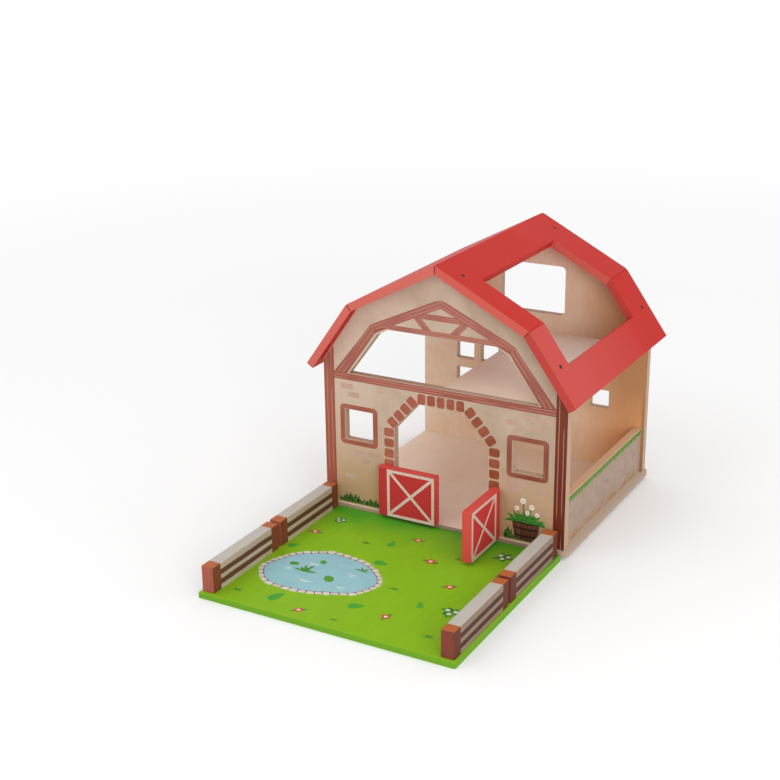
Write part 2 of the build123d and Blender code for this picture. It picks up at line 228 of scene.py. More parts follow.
def plywood(name, face, patch, warm, thickness_axis, grain_axis, edge="cfb8a4", glue="b89b82", **more):
    """Plywood washed with two colours, warmer towards one end, with layered edges."""
    material, add, shader = new_finish(name, roughness=0.65, shine=0.2)
    where, place, facing = read_surface(add)
    grain = add_grain(add, where, grain_axis, GRAIN_STRETCH, GRAIN_MM, Detail=5.0, Roughness=0.6)
    patches = add("TexNoise", [where, per_metre(PATCH_MM), 3.0, 0.55])
    # On the front wall the wash darkens towards the right: painted shade.
    slope = more.get("rightward_painted_shade", 0.0)
    sloped = add("Math", [place["X"], slope, patches], "MULTIPLY_ADD")
    spread = add("MapRange", [sloped, 0.36, 0.66])
    washed = add("Mix", [spread, face, patch], "RGBA")

    # Towards one end the wash takes another tone: a tint at the foot of most boards, painted light and
    # shade on the back wall and the loft floor.
    axis, cool_end, warm_end = more.get("warm_end", WARM_FOOT)
    near_warm_end = add("MapRange", [place[axis], cool_end, warm_end], interpolation_type="SMOOTHSTEP")
    warmed = add("Mix", [near_warm_end, washed, warm], "RGBA")
    # The back wall's foot is paler inside the barn, painted light against the shade there, and darker past
    # the low wall, a painted shadow of the low wall.
    foot_top, painted_foot_light = FLOOR_Z + PAINTED_LIGHT_FOOT_MM * MM, more.get("painted_foot_light", 0)
    near_foot = add("MapRange", [place["Z"], foot_top, FLOOR_Z, 0, painted_foot_light])
    outside = low_wall_high.x
    shadow_past_low_wall = add("MapRange", [place["X"], outside - MM, outside, 1, PAINTED_SHADE_PAST_LOW_WALL])
    foot_tone = add("Math", [near_foot, shadow_past_low_wall], "MULTIPLY")
    painted_foot_gain = add("Math", [foot_tone, near_warm_end, 1.0], "MULTIPLY_ADD")
    lit_and_shaded_wash = add("VectorMath", [warmed, painted_foot_gain], "SCALE")

    other_way, other_face = more.get("other_face", (0, face))
    is_other = add("Math", [facing[thickness_axis], other_way, 0.4], "COMPARE")
    two_faced = add("Mix", [is_other, lit_and_shaded_wash, other_face], "RGBA")
    grain_depth = more.get("grain_depth", 0.08)
    streaks = add("MapRange", [grain, 0.35, 0.7, 1 + grain_depth / 3, 1 - grain_depth])
    streaked = add("VectorMath", [two_faced, streaks], "SCALE")

    layers = add("Math", [place[thickness_axis], math.tau / (PLY_MM * MM)], "MULTIPLY")
    wave = add("Math", [layers], "SINE")
    layered = add("Mix", [add("MapRange", [wave, 0.1, 0.9, 0, 0.5]), edge, glue], "RGBA")
    flat_on = add("Math", [facing[thickness_axis]], "ABSOLUTE")
    is_face = add("Math", [flat_on, 0.6], "GREATER_THAN")
    board = add("Mix", [is_face, layered, streaked], "RGBA")
    show_coat(add, shader, board, grain)
    return material


# %% Dress the plywood boards
# The back wall turns warmer to the right: painted warm bounce light and shade.
PAINTED_WARM_BOUNCE_RIGHT = ("X", 20 * MM, 110 * MM)
# The loft floor is paler towards the back: painted light against the roof's shade.
LOFT_PAINTED_LIGHT = ("Y", 120 * MM, 10 * MM)
BASE_LEDGE = ("X", low_wall_high.x - 2 * MM, low_wall_high.x - MM)
DULL_EDGE = {"edge": "bda18a", "glue": "a4856c"}
FRONT_WALL = {"grain_depth": 0.04, "rightward_painted_shade": 1.6, "other_face": (1, "ead2ba"), **DULL_EDGE}
BACK_WALL = {"warm_end": PAINTED_WARM_BOUNCE_RIGHT, "other_face": (1, "cfb7a2"), "painted_foot_light": 0.85, **DULL_EDGE}
LOW_WALL = {"edge": "dcb594", "glue": "c79a74"}
LOFT = {"warm_end": LOFT_PAINTED_LIGHT, "grain_depth": 0.03}
BASE = {"warm_end": BASE_LEDGE, "grain_depth": 0.03, "edge": "bba08a", "glue": "957860"}
BATTENS = ("front_batten", "rear_batten")
for finish, washes, axes, more, names in (
    ("front_wall", ("cdb3a1", "b79e8a", "be9a72"), "YZ", FRONT_WALL, ["front_wall"]),
    ("back_wall", ("efd9c1", "e6c9aa", "bd8b60"), "YZ", BACK_WALL, ["back_wall"]),
    ("low_wall", ("e6c4a2", "dab18a", "e0aa7c"), "XY", LOW_WALL, ["right_low_wall"]),
    ("loft_floor", ("f9efe2", "f3e6d6", "edd9c4"), "ZY", LOFT, ["loft_floor"]),
    ("base", ("f3e2cf", "eedac5", "c4b6a5"), "ZY", BASE, ["base_board"]),
    ("batten", ("d2ae88", "c0986f", "c0986f"), "ZX", {}, BATTENS),
):
    dress(plywood(f"plywood_{finish}", *washes, *axes, **more), *names)
    print("plywood on", ", ".join(names))

# %% [markdown]
# ## Painted boards
#
# The roof boards and the door leaves are the same plywood under a coat of satin barn-red
# enamel. Sprayed paint hides the grain's colour but not its ridges, so the colour hardly
# changes and a faint bump keeps the wood's direction. The narrow sides of a board get a
# lighter, pinker tone of their own: painted light, weakest on the lower right roof board.
# The right leaf is packed standing open, so its faces look sideways, and its red is
# brighter than the left leaf's: painted light. The lower roof board on the open side is
# paler towards the barn's front: a painted sheen.

# %% Enamel finish
RIDGE_STRETCH, RIDGE_MM = 10, 2.2
CLOUD_MM = 70
PAINTED_SHEEN_MM = (20, 190)
ENAMEL_ROUGHNESS = 0.45


def enamel(name, coat, deep, painted_side_light, grain_axis, side_axis=None, face_axis=None, painted_sheen=None):
    """Satin enamel over wood, with painted light on the board's narrow sides and an optional painted sheen.
    """
    material, add, shader = new_finish(name, ENAMEL_ROUGHNESS, shine=0.1)
    where, place, facing = read_surface(add)
    ridges = add_grain(add, where, grain_axis, RIDGE_STRETCH, RIDGE_MM, Detail=4.0)
    cloud = add("TexNoise", [where, per_metre(CLOUD_MM), 2.0])
    clouded = add("Mix", [cloud, coat, deep], "RGBA")
    # The lower right roof board turns paler towards the front: a painted sheen.
    front, behind = (y * MM for y in PAINTED_SHEEN_MM)
    sheen_amount = add("MapRange", [place["Y"], behind, front, 0, 1 if painted_sheen else 0])
    sprayed = add("Mix", [sheen_amount, clouded, painted_sheen or coat], "RGBA")
    # The narrow sides get their own lighter tone: painted light.
    flat_on = add("Math", [facing[side_axis or face_axis]], "ABSOLUTE")
    is_side = add("Math", [flat_on, 0.7], "GREATER_THAN" if side_axis else "LESS_THAN")
    painted = add("Mix", [is_side, sprayed, painted_side_light], "RGBA")
    gloss = add("MapRange", [cloud, 0, 1, ENAMEL_ROUGHNESS - 0.05, ENAMEL_ROUGHNESS + 0.08])
    fill_inputs(shader, {"Roughness": gloss})
    show_coat(add, shader, painted, ridges, strength=0.35, ridge_mm=0.06)
    return material


# %% Paint the roof boards and the doors
ROOF = {"grain_axis": "Y", "side_axis": "Y"}
SHEENED_ROOF = {**ROOF, "painted_sheen": "c54a45"}
LEFT_LEAF, RIGHT_LEAF = ({"grain_axis": "Z", "face_axis": axis} for axis in "YX")
for finish, coats, more, names in (
    ("left_roof", ("c4291f", "bd241b", "cc665c"), ROOF, ["roof_left_upper", "roof_left_lower"]),
    ("right_upper_roof", ("c4291f", "bd241b", "ca5a4f"), ROOF, ["roof_right_upper"]),
    ("right_lower_roof", ("c12318", "bd1e14", "b8423b"), SHEENED_ROOF, ["roof_right_lower"]),
    ("left_door", ("c73a3a", "bc3434", "d9524a"), LEFT_LEAF, ["left_door"]),
    # The right leaf's red is brighter than the left leaf's: painted light.
    ("right_door", ("d84242", "cc3a3a", "d9524a"), RIGHT_LEAF, ["right_door"]),
):
    dress(enamel(f"{finish}_enamel", *coats, **more), *names)
    print("painted:", ", ".join(names))

# %% [markdown]
# ## Steel and beech fittings
#
# Blackened countersunk screws hold the roof boards, zinc plated wire makes the hinge
# pins, and beech makes the dowels and pegs. The steel finishes differ in how dark and how
# rough they are. Drawn wire and turned heads both leave very fine lines.

# %% Steel and beech
MARK_MM = 0.4


def steel(name, shade, roughness):
    """Plated or blackened steel with fine working marks."""
    material, add, shader = new_finish(name, roughness, shine=0.5)
    coords = add("TexCoord").outputs
    marks = add("TexNoise", [coords["Object"], per_metre(MARK_MM), 3.0])
    gloss = add("MapRange", [marks, 0, 1, roughness - 0.08, roughness + 0.12])
    fill_inputs(shader, {"Metallic": 1.0, "Base Color": shade, "Roughness": gloss})
    return material


dress(steel("blackened_screw_steel", "3a302c", 0.45), "roof_screws", "base_screws")
dress(steel("zinc_plated_wire", "b8b6b2", 0.32), "left_hinge_pin", "right_hinge_pin")
pegs = [name for name in nodes if name.endswith("_fence_pegs")]
dress(plywood("turned_beech", "d9b98e", "cda777", "cda777", "Z", "Z"), "wall_dowels", *pegs)
print("fittings:", ", ".join(pegs))

# %% [markdown]
# ## The printed yard board
#
# The yard is a plywood board with grass printed over its whole top and a plain green on
# its rounded edge. The print is a deep green close to the barn and soon turns to a
# yellower green, with soft brush marks in it; a lighter band a little way out from the
# barn is painted light against the barn's shadow. Two noises, one broad and one narrow,
# give the marks, and the place on the board gives the change of green.

# %% Grass print
BARN_GREEN, FRONT_GREEN, EDGE_GREEN = "56aa2a", "84af1c", "6da025"
# The middle greens are lighter than the front: painted light against the barn's shadow.
MIDDLE_GREENS_PAINTED_LIGHT = ((0.06, "76b428"), (0.17, "8bbe22"))
DRIFT_MM = 60
BRUSH_STRETCH, BRUSH_MM = 4, 7


def grass_board():
    """Printed grass on top, plain green paint round the edge."""
    material, add, shader = new_finish("printed_grass_board", roughness=0.5, shine=0.08)
    where, place, facing = read_surface(add)
    to_front = add("MapRange", [place["Y"], yard_high.y, yard_low.y, 0, 0.75])
    to_right = add("MapRange", [place["X"], yard_low.x, yard_high.x, 0, -0.06])
    slow = add("TexNoise", [where, per_metre(DRIFT_MM), 2.0])
    drift = add("MapRange", [slow, 0.3, 0.7, -0.05, 0.05])
    sloped = add("Math", [to_front, to_right], "ADD")
    greens = add("ValToRGB", [add("Math", [sloped, drift], "ADD")])
    steps = greens.color_ramp.elements
    steps[0].color, steps[1].color = colour(BARN_GREEN), colour(FRONT_GREEN)
    for share, green in MIDDLE_GREENS_PAINTED_LIGHT:
        steps.new(share).color = colour(green)
    strokes = add_grain(add, where, "Y", BRUSH_STRETCH, BRUSH_MM, Detail=4.0, Distortion=0.4)
    stroke_level = add("MapRange", [strokes, 0.3, 0.75, 1.03, 0.95])
    top = add("VectorMath", [greens, stroke_level], "SCALE")
    is_top = add("Math", [facing["Z"], 0.8], "GREATER_THAN")
    board = add("Mix", [is_top, EDGE_GREEN, top], "RGBA")
    show_coat(add, shader, board, strokes, strength=0.2)
    return material


dress(grass_board(), "yard_board")
print("yard board", [round(c / MM) for c in yard_high - yard_low], "mm")

# %% [markdown]
# ## The fences
#
# Each fence is one plain block. The print makes it a fence: a brown post at each end and,
# between them, three pale rails with dark gaps on the two long sides and one pale rail on
# top. The block's own coordinates say where a point lies, so the bands stay put when the
# fence is lifted. A slow noise moves each band's edge a little, as a hand-drawn line
# would. The post sides are printed darker than their fronts, painted shade, and the post
# tops a brighter orange, partly the print's own and partly painted light. The right-hand
# pair is darkened further on its outer and front faces with painted shade.

# %% Fence print
POST_MM = 11.0
BANDS_MM = (4.3, 5.0, 4.1, 4.9, 5.9)
BAND_WOBBLE_MM, WOBBLE_L_MM = 0.4, 9
RAIL_STRETCH, RAIL_STROKE_MM = 12, 1.8
POST_STRETCH, POST_STROKE_MM = 8, 2.2
# The post sides are darker than the fronts, painted shade, and the post top is a brighter orange, partly
# the print's own and partly painted light.
FENCE_INKS = {
    "rail top": ("c3beb5", "b5ada3"),
    "rail side": ("cbbba9", "a5907c"),
    "gap": ("512d20", "6d4736"),
    "post front": ("ac5f4d", "924737"),
    "post side in painted shade": ("864830", "6d3623"),
}
POST_TOP_PAINTED_LIGHT = "b06034"
PAINTED_SHADE_TINT = "c8bab3"


def fence_print(name, low, high):
    """Posts, rails and gaps printed on fence blocks between these two corners."""
    material, add, shader = new_finish(name, roughness=0.55, shine=0.2)
    coords = add("TexCoord").outputs
    where, facing = coords["Object"], add("SeparateXYZ", [coords["Normal"]]).outputs
    hand = add("TexNoise", [where, per_metre(WOBBLE_L_MM), 2.0]).outputs["Color"]
    reach = BAND_WOBBLE_MM * MM
    wobble = add("VectorMath", [hand, [2 * reach] * 3, [-reach] * 3], "MULTIPLY_ADD")
    drawn = add("VectorMath", [where, wobble], "ADD")
    place = add("SeparateXYZ", [drawn]).outputs

    from_middle = add("Math", [place["Y"], (low.y + high.y) / 2], "SUBTRACT")
    distance = add("Math", [from_middle], "ABSOLUTE")
    post_starts = (high.y - low.y) / 2 - POST_MM * MM
    is_post = add("Math", [distance, post_starts], "GREATER_THAN")
    bands = add("ValToRGB", [add("MapRange", [place["Z"], low.z, high.z])])
    ramp = bands.color_ramp
    ramp.interpolation = "CONSTANT"
    rail_level, gap_level = (0, 0, 0, 1), (1, 1, 1, 1)
    ramp.elements[0].color = rail_level
    for count in range(1, len(BANDS_MM)):
        share = sum(BANDS_MM[:count]) / sum(BANDS_MM)
        band = ramp.elements.new(share)
        band.color = gap_level if count % 2 else rail_level
    ramp.elements.remove(ramp.elements[-1])
    side_on = add("Math", [facing["X"]], "ABSOLUTE")
    is_side = add("Math", [side_on, 0.5], "GREATER_THAN")
    is_gap = add("Math", [bands, is_side], "MULTIPLY")

    strokes = add_grain(add, where, "Y", RAIL_STRETCH, RAIL_STROKE_MM, Detail=3.0)
    post_strokes = add_grain(add, where, "Z", POST_STRETCH, POST_STROKE_MM, Detail=3.0)
    inks = {}
    for part, (light, dark) in FENCE_INKS.items():
        marks = post_strokes if part.startswith("post") else strokes
        inks[part] = add("Mix", [marks, light, dark], "RGBA")
    rail = add("Mix", [is_side, inks["rail top"], inks["rail side"]], "RGBA")
    rails_and_gaps = add("Mix", [is_gap, rail, inks["gap"]], "RGBA")
    post_sides = add("Mix", [is_side, inks["post front"], inks["post side in painted shade"]], "RGBA")
    is_top = add("Math", [facing["Z"], 0.7], "GREATER_THAN")
    post = add("Mix", [is_top, post_sides, POST_TOP_PAINTED_LIGHT], "RGBA")
    block = add("Mix", [is_post, rails_and_gaps, post], "RGBA")

    # The right-hand fences' outer and front faces are darkened: painted shade.
    outer_or_front = add("Math", [facing["X"], facing["Y"]], "SUBTRACT")
    faces_away_from_light = add("Math", [outer_or_front, 0.5], "GREATER_THAN")
    is_right_hand = add("Math", [place["X"], 0.0], "GREATER_THAN")
    in_painted_shade = add("Math", [faces_away_from_light, is_right_hand], "MULTIPLY")
    inked = add("Mix", [in_painted_shade, block, PAINTED_SHADE_TINT], "RGBA", blend_type="MULTIPLY")
    show_coat(add, shader, inked, strokes)
    return material


for row in ("rear", "front"):
    pair_names = [f"{row}_{side}_fence" for side in ("left", "right")]
    dress(fence_print(f"printed_{row}_fence", *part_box(pair_names[0])), *pair_names)
    print(row, "fences printed")

# %% [markdown]
# ## Laying ink on a board
#
# A screen print is a film of ink on the board. Here it is modelled as just that: flat
# shapes are drawn in millimetres on an imaginary sheet, thickened by a tenth of a
# millimetre, and the sheet is then laid on the board. A sheet is a matrix, so drawing,
# thickening and laying are three short steps that serve every print. Each shape carries
# two things for its ink: coordinates that run along and across the stroke, and a value
# of its own, so that no two bricks or petals need look alike. Shapes that overlap lie
# some hairs apart, as later passes of ink do, and a hair is a hundredth of a millimetre.

# %% Print helpers
INK_MM = 0.12
SINK_MM = 0.03
HAIR_MM = 0.01
SECOND_PASS, THIRD_PASS = 3, 6
STROKE_UNIT_MM = 10
LEAF_STEPS = 6


def uneven(number, seed=0.0):
    """Repeatable value between -1 and 1 for the nth of many things."""
    return math.sin(number * 12.9898 + seed * 78.233) * math.cos(number * 4.1414 + seed)


def start_print():
    """Empty drawing with its stroke coordinates and each shape's own value."""
    drawing = bmesh.new()
    drawing.loops.layers.uv.new("stroke")
    drawing.faces.layers.float.new("own")
    return drawing


def mark_stroke(drawing, faces, grain, own):
    """Write how far along and across a stroke each corner lies, and the shape's own value."""
    stroke = drawing.loops.layers.uv["stroke"]
    own_value = drawing.faces.layers.float["own"]
    start, end, width = grain
    along = (Vector(end) - Vector(start)).normalized()
    for face in faces:
        face[own_value] = own
        for loop in face.loops:
            offset = loop.vert.co.xy - Vector(start)
            across = along.x * offset.y - along.y * offset.x
            loop[stroke].uv = (offset.dot(along) / STROKE_UNIT_MM, 2 * across / width)


def rectangle(left, low, right, high):
    """Corners of an upright rectangle."""
    return [(left, low), (right, low), (right, high), (left, high)]


def draw_shape(drawing, points, corner_mm=0.0, grain=None, own=0.5, lift=0):
    """Flat shape from its corners, which can be rounded."""
    verts = [drawing.verts.new((*point, lift * HAIR_MM)) for point in points]
    faces = [drawing.faces.new(verts)]
    if corner_mm:
        rounded = bmesh.ops.bevel(
            drawing, geom=verts, affect="VERTICES", offset=corner_mm, offset_type="OFFSET",
            segments=3, profile=0.5, clamp_overlap=True, material=-1,
        )
        faces = list({face for vert in rounded["verts"] for face in vert.link_faces})
    mark_stroke(drawing, faces, grain or (points[0], points[1], STROKE_UNIT_MM), own)


def draw_blob(drawing, centre, radii, lobes=0, depth=0.0, turn=0.0, own=0.5, lift=0, sides=20):
    """Round shape, stretched, turned and given lobes as a petalled flower has."""
    ring = bmesh.ops.create_circle(drawing, cap_ends=True, segments=sides, radius=1.0)["verts"]
    for vert in ring:
        reach = 1 + depth * math.cos(lobes * math.atan2(vert.co.y, vert.co.x))
        x, y = vert.co.x * reach * radii[0], vert.co.y * reach * radii[1]
        across = x * math.cos(turn) - y * math.sin(turn)
        up = x * math.sin(turn) + y * math.cos(turn)
        vert.co = (centre[0] + across, centre[1] + up, lift * HAIR_MM)
    faces = list({face for vert in ring for face in vert.link_faces})
    end = (centre[0] + math.cos(turn), centre[1] + math.sin(turn))
    mark_stroke(drawing, faces, (centre, end, 2 * radii[1]), own)


def draw_line(drawing, start, end, width, own=0.4, lift=0):
    """Straight line of ink between two points."""
    start, end = Vector(start), Vector(end)
    side = (end - start).normalized().orthogonal() * width / 2
    corners = [start - side, end - side, end + side, start + side]
    draw_shape(drawing, corners, grain=(start, end, width), own=own, lift=lift)


def draw_leaf(drawing, root, heading, length, width, bend=0.0, own=0.5, lift=0):
    """Pointed leaf or brush stroke that grows from its root and can bend on the way."""
    spot, left, right = Vector(root), [], []
    for step in range(LEAF_STEPS + 1):
        share = step / LEAF_STEPS
        turn = heading + bend * share
        side = Vector((-math.sin(turn), math.cos(turn))) * (width / 2 * math.sin(math.pi * share))
        left.append(spot + side)
        right.append(spot - side)
        spot = spot + Vector((math.cos(turn), math.sin(turn))) * length / LEAF_STEPS
    outline = left + right[-2:0:-1]
    draw_shape(drawing, outline, grain=(left[0], left[-1], width), own=own, lift=lift)


# %% [markdown]
# A print needs to know where it goes: its sheet, the body that it rides and the slot that
# its ink belongs to. These three make a board. A sheet's first direction runs from left
# to right for someone who looks at that side of the toy, so nothing is printed mirrored.
# Prints are made in a with block. It opens an empty drawing for each named piece, and
# when the block ends, each drawing is laid on the board in its own ink.

# %% Lay a print on its board
RIGHTWARDS, BACKWARDS, UPWARDS = Vector((1, 0, 0)), Vector((0, 1, 0)), Vector((0, 0, 1))


def sheet_on(origin, across, up=UPWARDS):
    """Matrix that lays a drawing in millimetres on a board."""
    turned = Matrix((across, up, across.cross(up))).transposed().to_4x4()
    return Matrix.Translation(Vector(origin)) @ turned @ Matrix.Scale(MM, 4)


def link_mesh(name, drawing, material):
    """Object made from a finished bmesh, with its material."""
    mesh = bpy.data.meshes.new(name)
    drawing.to_mesh(mesh)
    drawing.free()
    mesh.materials.append(material)
    piece = bpy.data.objects.new(name, mesh)
    bpy.context.scene.collection.objects.link(piece)
    return piece


def lay_print(drawing, name, board, ink):
    """Thicken a drawing, lay it on its board and let it ride with that board."""
    sheet, body, slot = board
    raised = bmesh.ops.extrude_face_region(drawing, geom=drawing.faces[:])["geom"]
    tops = {item for item in raised if isinstance(item, bmesh.types.BMVert)}
    for vert in drawing.verts:
        vert.co.z = vert.co.z + INK_MM if vert in tops else -SINK_MM
    bmesh.ops.recalc_face_normals(drawing, faces=drawing.faces[:])
    bmesh.ops.transform(drawing, matrix=sheet, verts=drawing.verts[:])
    piece = link_mesh(name, drawing, INKS[ink])
    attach(piece, body)
    print(f"{name}: {len(piece.data.polygons)} faces on {body}")


@contextmanager
def printing(board, **inks):
    """Empty drawings for the named pieces, laid on the board in their inks at the end."""
    drawings = [start_print() for _ in inks]
    yield drawings
    for drawing, (name, ink) in zip(drawings, inks.items()):
        lay_print(drawing, name, board, ink)


back_face_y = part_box("back_wall")[1].y
low_wall_foot = (low_wall_high.x, low_wall_low.y, FLOOR_Z)
FRONT = (sheet_on((0, FRONT_Y, FLOOR_Z), RIGHTWARDS), "barn", "front_wall_print")
BACK = (sheet_on((0, back_face_y, FLOOR_Z), -RIGHTWARDS), "barn", "back_wall_print")
LOW_WALL_FACE = (sheet_on(low_wall_foot, BACKWARDS), "barn", "low_wall_print")
YARD = (sheet_on((0, yard_high.y, yard_high.z), RIGHTWARDS, BACKWARDS), "yard", "yard_print")

# %% [markdown]
# ## Inks
#
# Two kinds of ink cover the whole toy. The timber ink is drawn like a brush stroke: it is
# a little darker at both sides of a beam and has broken light lines along it. The
# speckled ink fills bricks, stones, leaves and petals: its colour moves between two
# values with the shape's own value and with a soft noise. Both are matt and a little
# uneven, as pigment on wood is. The timber is also darkened towards the wall's foot and
# towards the right with painted shade.

# %% Timber ink
LIGHT_LINES = (-0.42, 0.44)
LIGHT_LINE = "c08573"
TIMBER_FOOT_MM, TIMBER_TOP_MM = 60, 200
TIMBER_LEFT_MM, TIMBER_RIGHT_MM = -40, 120


def timber_ink(name, top, shaded_foot_left, shaded_foot_right, rim_shade):
    """Red-brown beams with darker sides, broken light lines, and painted shade towards the foot and the
    right.
    """
    material, add, shader = new_finish(name, roughness=0.6, shine=0.2)
    stroke = add("UVMap", uv_map="stroke")
    own = add("Attribute", attribute_name="own").outputs["Fac"]
    on_wall = add("SeparateXYZ", [add("TexCoord").outputs["Object"]]).outputs
    # Painted shade: darker towards the wall's foot and towards the right.
    up_wall = add("MapRange", [on_wall["Z"], FLOOR_Z + TIMBER_FOOT_MM * MM, FLOOR_Z + TIMBER_TOP_MM * MM])
    to_right = add("MapRange", [on_wall["X"], TIMBER_LEFT_MM * MM, TIMBER_RIGHT_MM * MM])
    foot = add("Mix", [to_right, shaded_foot_left, shaded_foot_right], "RGBA")
    body = add("Mix", [up_wall, foot, top], "RGBA")
    drawn = add("Mapping", {"Vector": stroke, "Scale": (0.35, 6.0, 1.0)})
    bristles = add("TexNoise", [drawn, 1.0, 4.0])
    bristle_level = add("MapRange", [bristles, 0.3, 0.7, 0.90, 1.08])
    brushed = add("VectorMath", [body, bristle_level], "SCALE")

    hand = add("TexNoise", [stroke, 0.45, 1.0])
    wander = add("MapRange", [hand, 0, 1, -0.08, 0.08])
    across = add("Math", [add("SeparateXYZ", [stroke]).outputs["Y"], wander], "ADD")
    side = add("Math", [across], "ABSOLUTE")
    rim = add("MapRange", [side, 0.74, 0.92, 0, 0.4])
    latest = add("Mix", [rim, brushed, rim_shade], "RGBA")
    for number, middle in enumerate(LIGHT_LINES):
        on_line = add("Math", [across, middle, own], "COMPARE")
        elsewhere = {"Location": (7.3 * number, 0, 0), "Scale": (0.18, 0, 0)}
        moved = add("Mapping", {"Vector": stroke, **elsewhere})
        breaks = add("TexNoise", [moved, 1.0, 1.0])
        unbroken = add("MapRange", [breaks, 0.42, 0.50, 0, 0.85])
        line = add("Math", [on_line, unbroken], "MULTIPLY")
        latest = add("Mix", [line, latest, LIGHT_LINE], "RGBA")
    fill_inputs(shader, {"Base Color": latest})
    return material


# %% Speckled ink
def speckled_ink(name, light, dark, speck_mm):
    """Ink between two colours, by each shape's own value and a soft noise."""
    material, add, shader = new_finish(name, roughness=0.6, shine=0.2)
    own = add("Attribute", attribute_name="own").outputs["Fac"]
    where = add("TexCoord").outputs["Object"]
    specks = add("TexNoise", [where, per_metre(speck_mm), 3.0])
    centred = add("MapRange", [specks, 0.3, 0.7, -0.3, 0.3])
    level = add("Math", [own, centred], "ADD", use_clamp=True)
    mixed = add("Mix", [level, light, dark], "RGBA")
    fill_inputs(shader, {"Base Color": mixed})
    return material


# %% Mix the inks
INKS = {
    "timber": timber_ink("timber_ink", "a6655a", "9f533f", "7e402c", "84402f"),
    # The right corner post is darkened with a painted shadow.
    "painted_shadow_timber": timber_ink("shaded_timber_ink", "874530", "70301f", "68291a", "5e2a1b"),
}
for name, light, dark, speck_mm in (
    ("brick", "b06250", "8a4328", 2.5),
    ("faint_brick", "c6a896", "ba9483", 4),
    # The whitewash is darker than the front wall's wash: painted shade.
    ("whitewash", "af9989", "9d8776", 9),
    ("smudged_brick", "ad9285", "a0817a", 3),
    ("leaf", "5fa43a", "1f6a26", 2.5),
    ("dark_grass", "568232", "24491c", 2.5),
    ("grass_trim", "6b9c36", "3b7023", 2.5),
    ("grass_spot", "57ab35", "3d9a30", 5),
    ("earth", "b69675", "a08060", 3),
    ("white_line", "e2cdc3", "d0b3a8", 3),
    ("petal", "f4f1ec", "d9d2cc", 2.5),
    ("pollen", "eec04a", "d89a2c", 2.5),
    ("red_petal", "d85a40", "b83c2c", 2.5),
    ("joint_shadow_red", "8c2a26", "701f1d", 2.5),
    ("tub_stave", "80503c", "4c2b20", 1.5),
    ("tub_hoop", "2e1c17", "221310", 2.5),
    ("water", "9ecad0", "8bbcc6", 12),
    ("pond_stone", "e2dacd", "c4b7ac", 3),
    ("pond_joint", "80636a", "5f464c", 2.5),
):
    INKS[name] = speckled_ink(f"{name}_ink", light, dark, speck_mm)
print("inks:", ", ".join(INKS))

# %% [markdown]
# ## The timber frame on the front wall
#
# The front is printed as an old timber barn: a post at each corner, the right one darkened
# with a painted shadow, a beam under the loft opening, sloping struts beside it, and a
# small roof truss above it. Each beam is one shape with its own direction, so its brush
# lines run along it. Where beams cross, the later one lies a hair higher. Every shape stays
# half a millimetre clear of the sawn openings, where the real board's edge is eased.

# %% Timbers
POST_W = 11.5
POST_FOOT, POST_OUTER_TOP, POST_INNER_TOP = 0.3, 144.2, 159.5
BEAM_LOW, BEAM_HIGH = 127.0, 133.4
CHORD_LOW, CHORD_HIGH = 183.2, 187.7
TIE_LOW, TIE_HIGH = 198.0, 203.3
LIGHT_LINE_MM = 0.7


def draw_timber(drawing, points, start, end, width, lift=0, line_mm=LIGHT_LINE_MM):
    """One timber, whose light lines are equally fine on a wide and a narrow beam."""
    draw_shape(drawing, points, grain=(start, end, width), own=line_mm / width, lift=lift)


def draw_both(drawing, points, start, end, width, lift=0):
    """One timber on the left and its mirror image on the right."""
    draw_timber(drawing, points, start, end, width, lift)
    flipped = [(-x, z) for x, z in reversed(points)]
    draw_timber(drawing, flipped, (-start[0], start[1]), (-end[0], end[1]), width, lift)


def draw_post(drawing, side):
    """Corner post, on the left (-1) or on the right (1), cut off under the roof."""
    outer, inner = side * (HALF_WALL - 0.5), side * (HALF_WALL - POST_W)
    middle = (outer + inner) / 2
    post = [(outer, POST_FOOT), (inner, POST_FOOT), (inner, POST_INNER_TOP), (outer, POST_OUTER_TOP)]
    draw_timber(drawing, post[::-side], (middle, 0), (middle, 150), POST_W - 0.5)


def draw_level_beam(drawing, left, right, low, high, lift):
    """Beam that lies level between two places."""
    middle = (low + high) / 2
    beam = rectangle(left, low, right, high)
    draw_timber(drawing, beam, (left, middle), (right, middle), high - low, lift)


def draw_main_beam(drawing, lift):
    """Beam from post to post under the loft opening."""
    reach = HALF_WALL - POST_W
    draw_level_beam(drawing, -reach, reach, BEAM_LOW, BEAM_HIGH, lift)


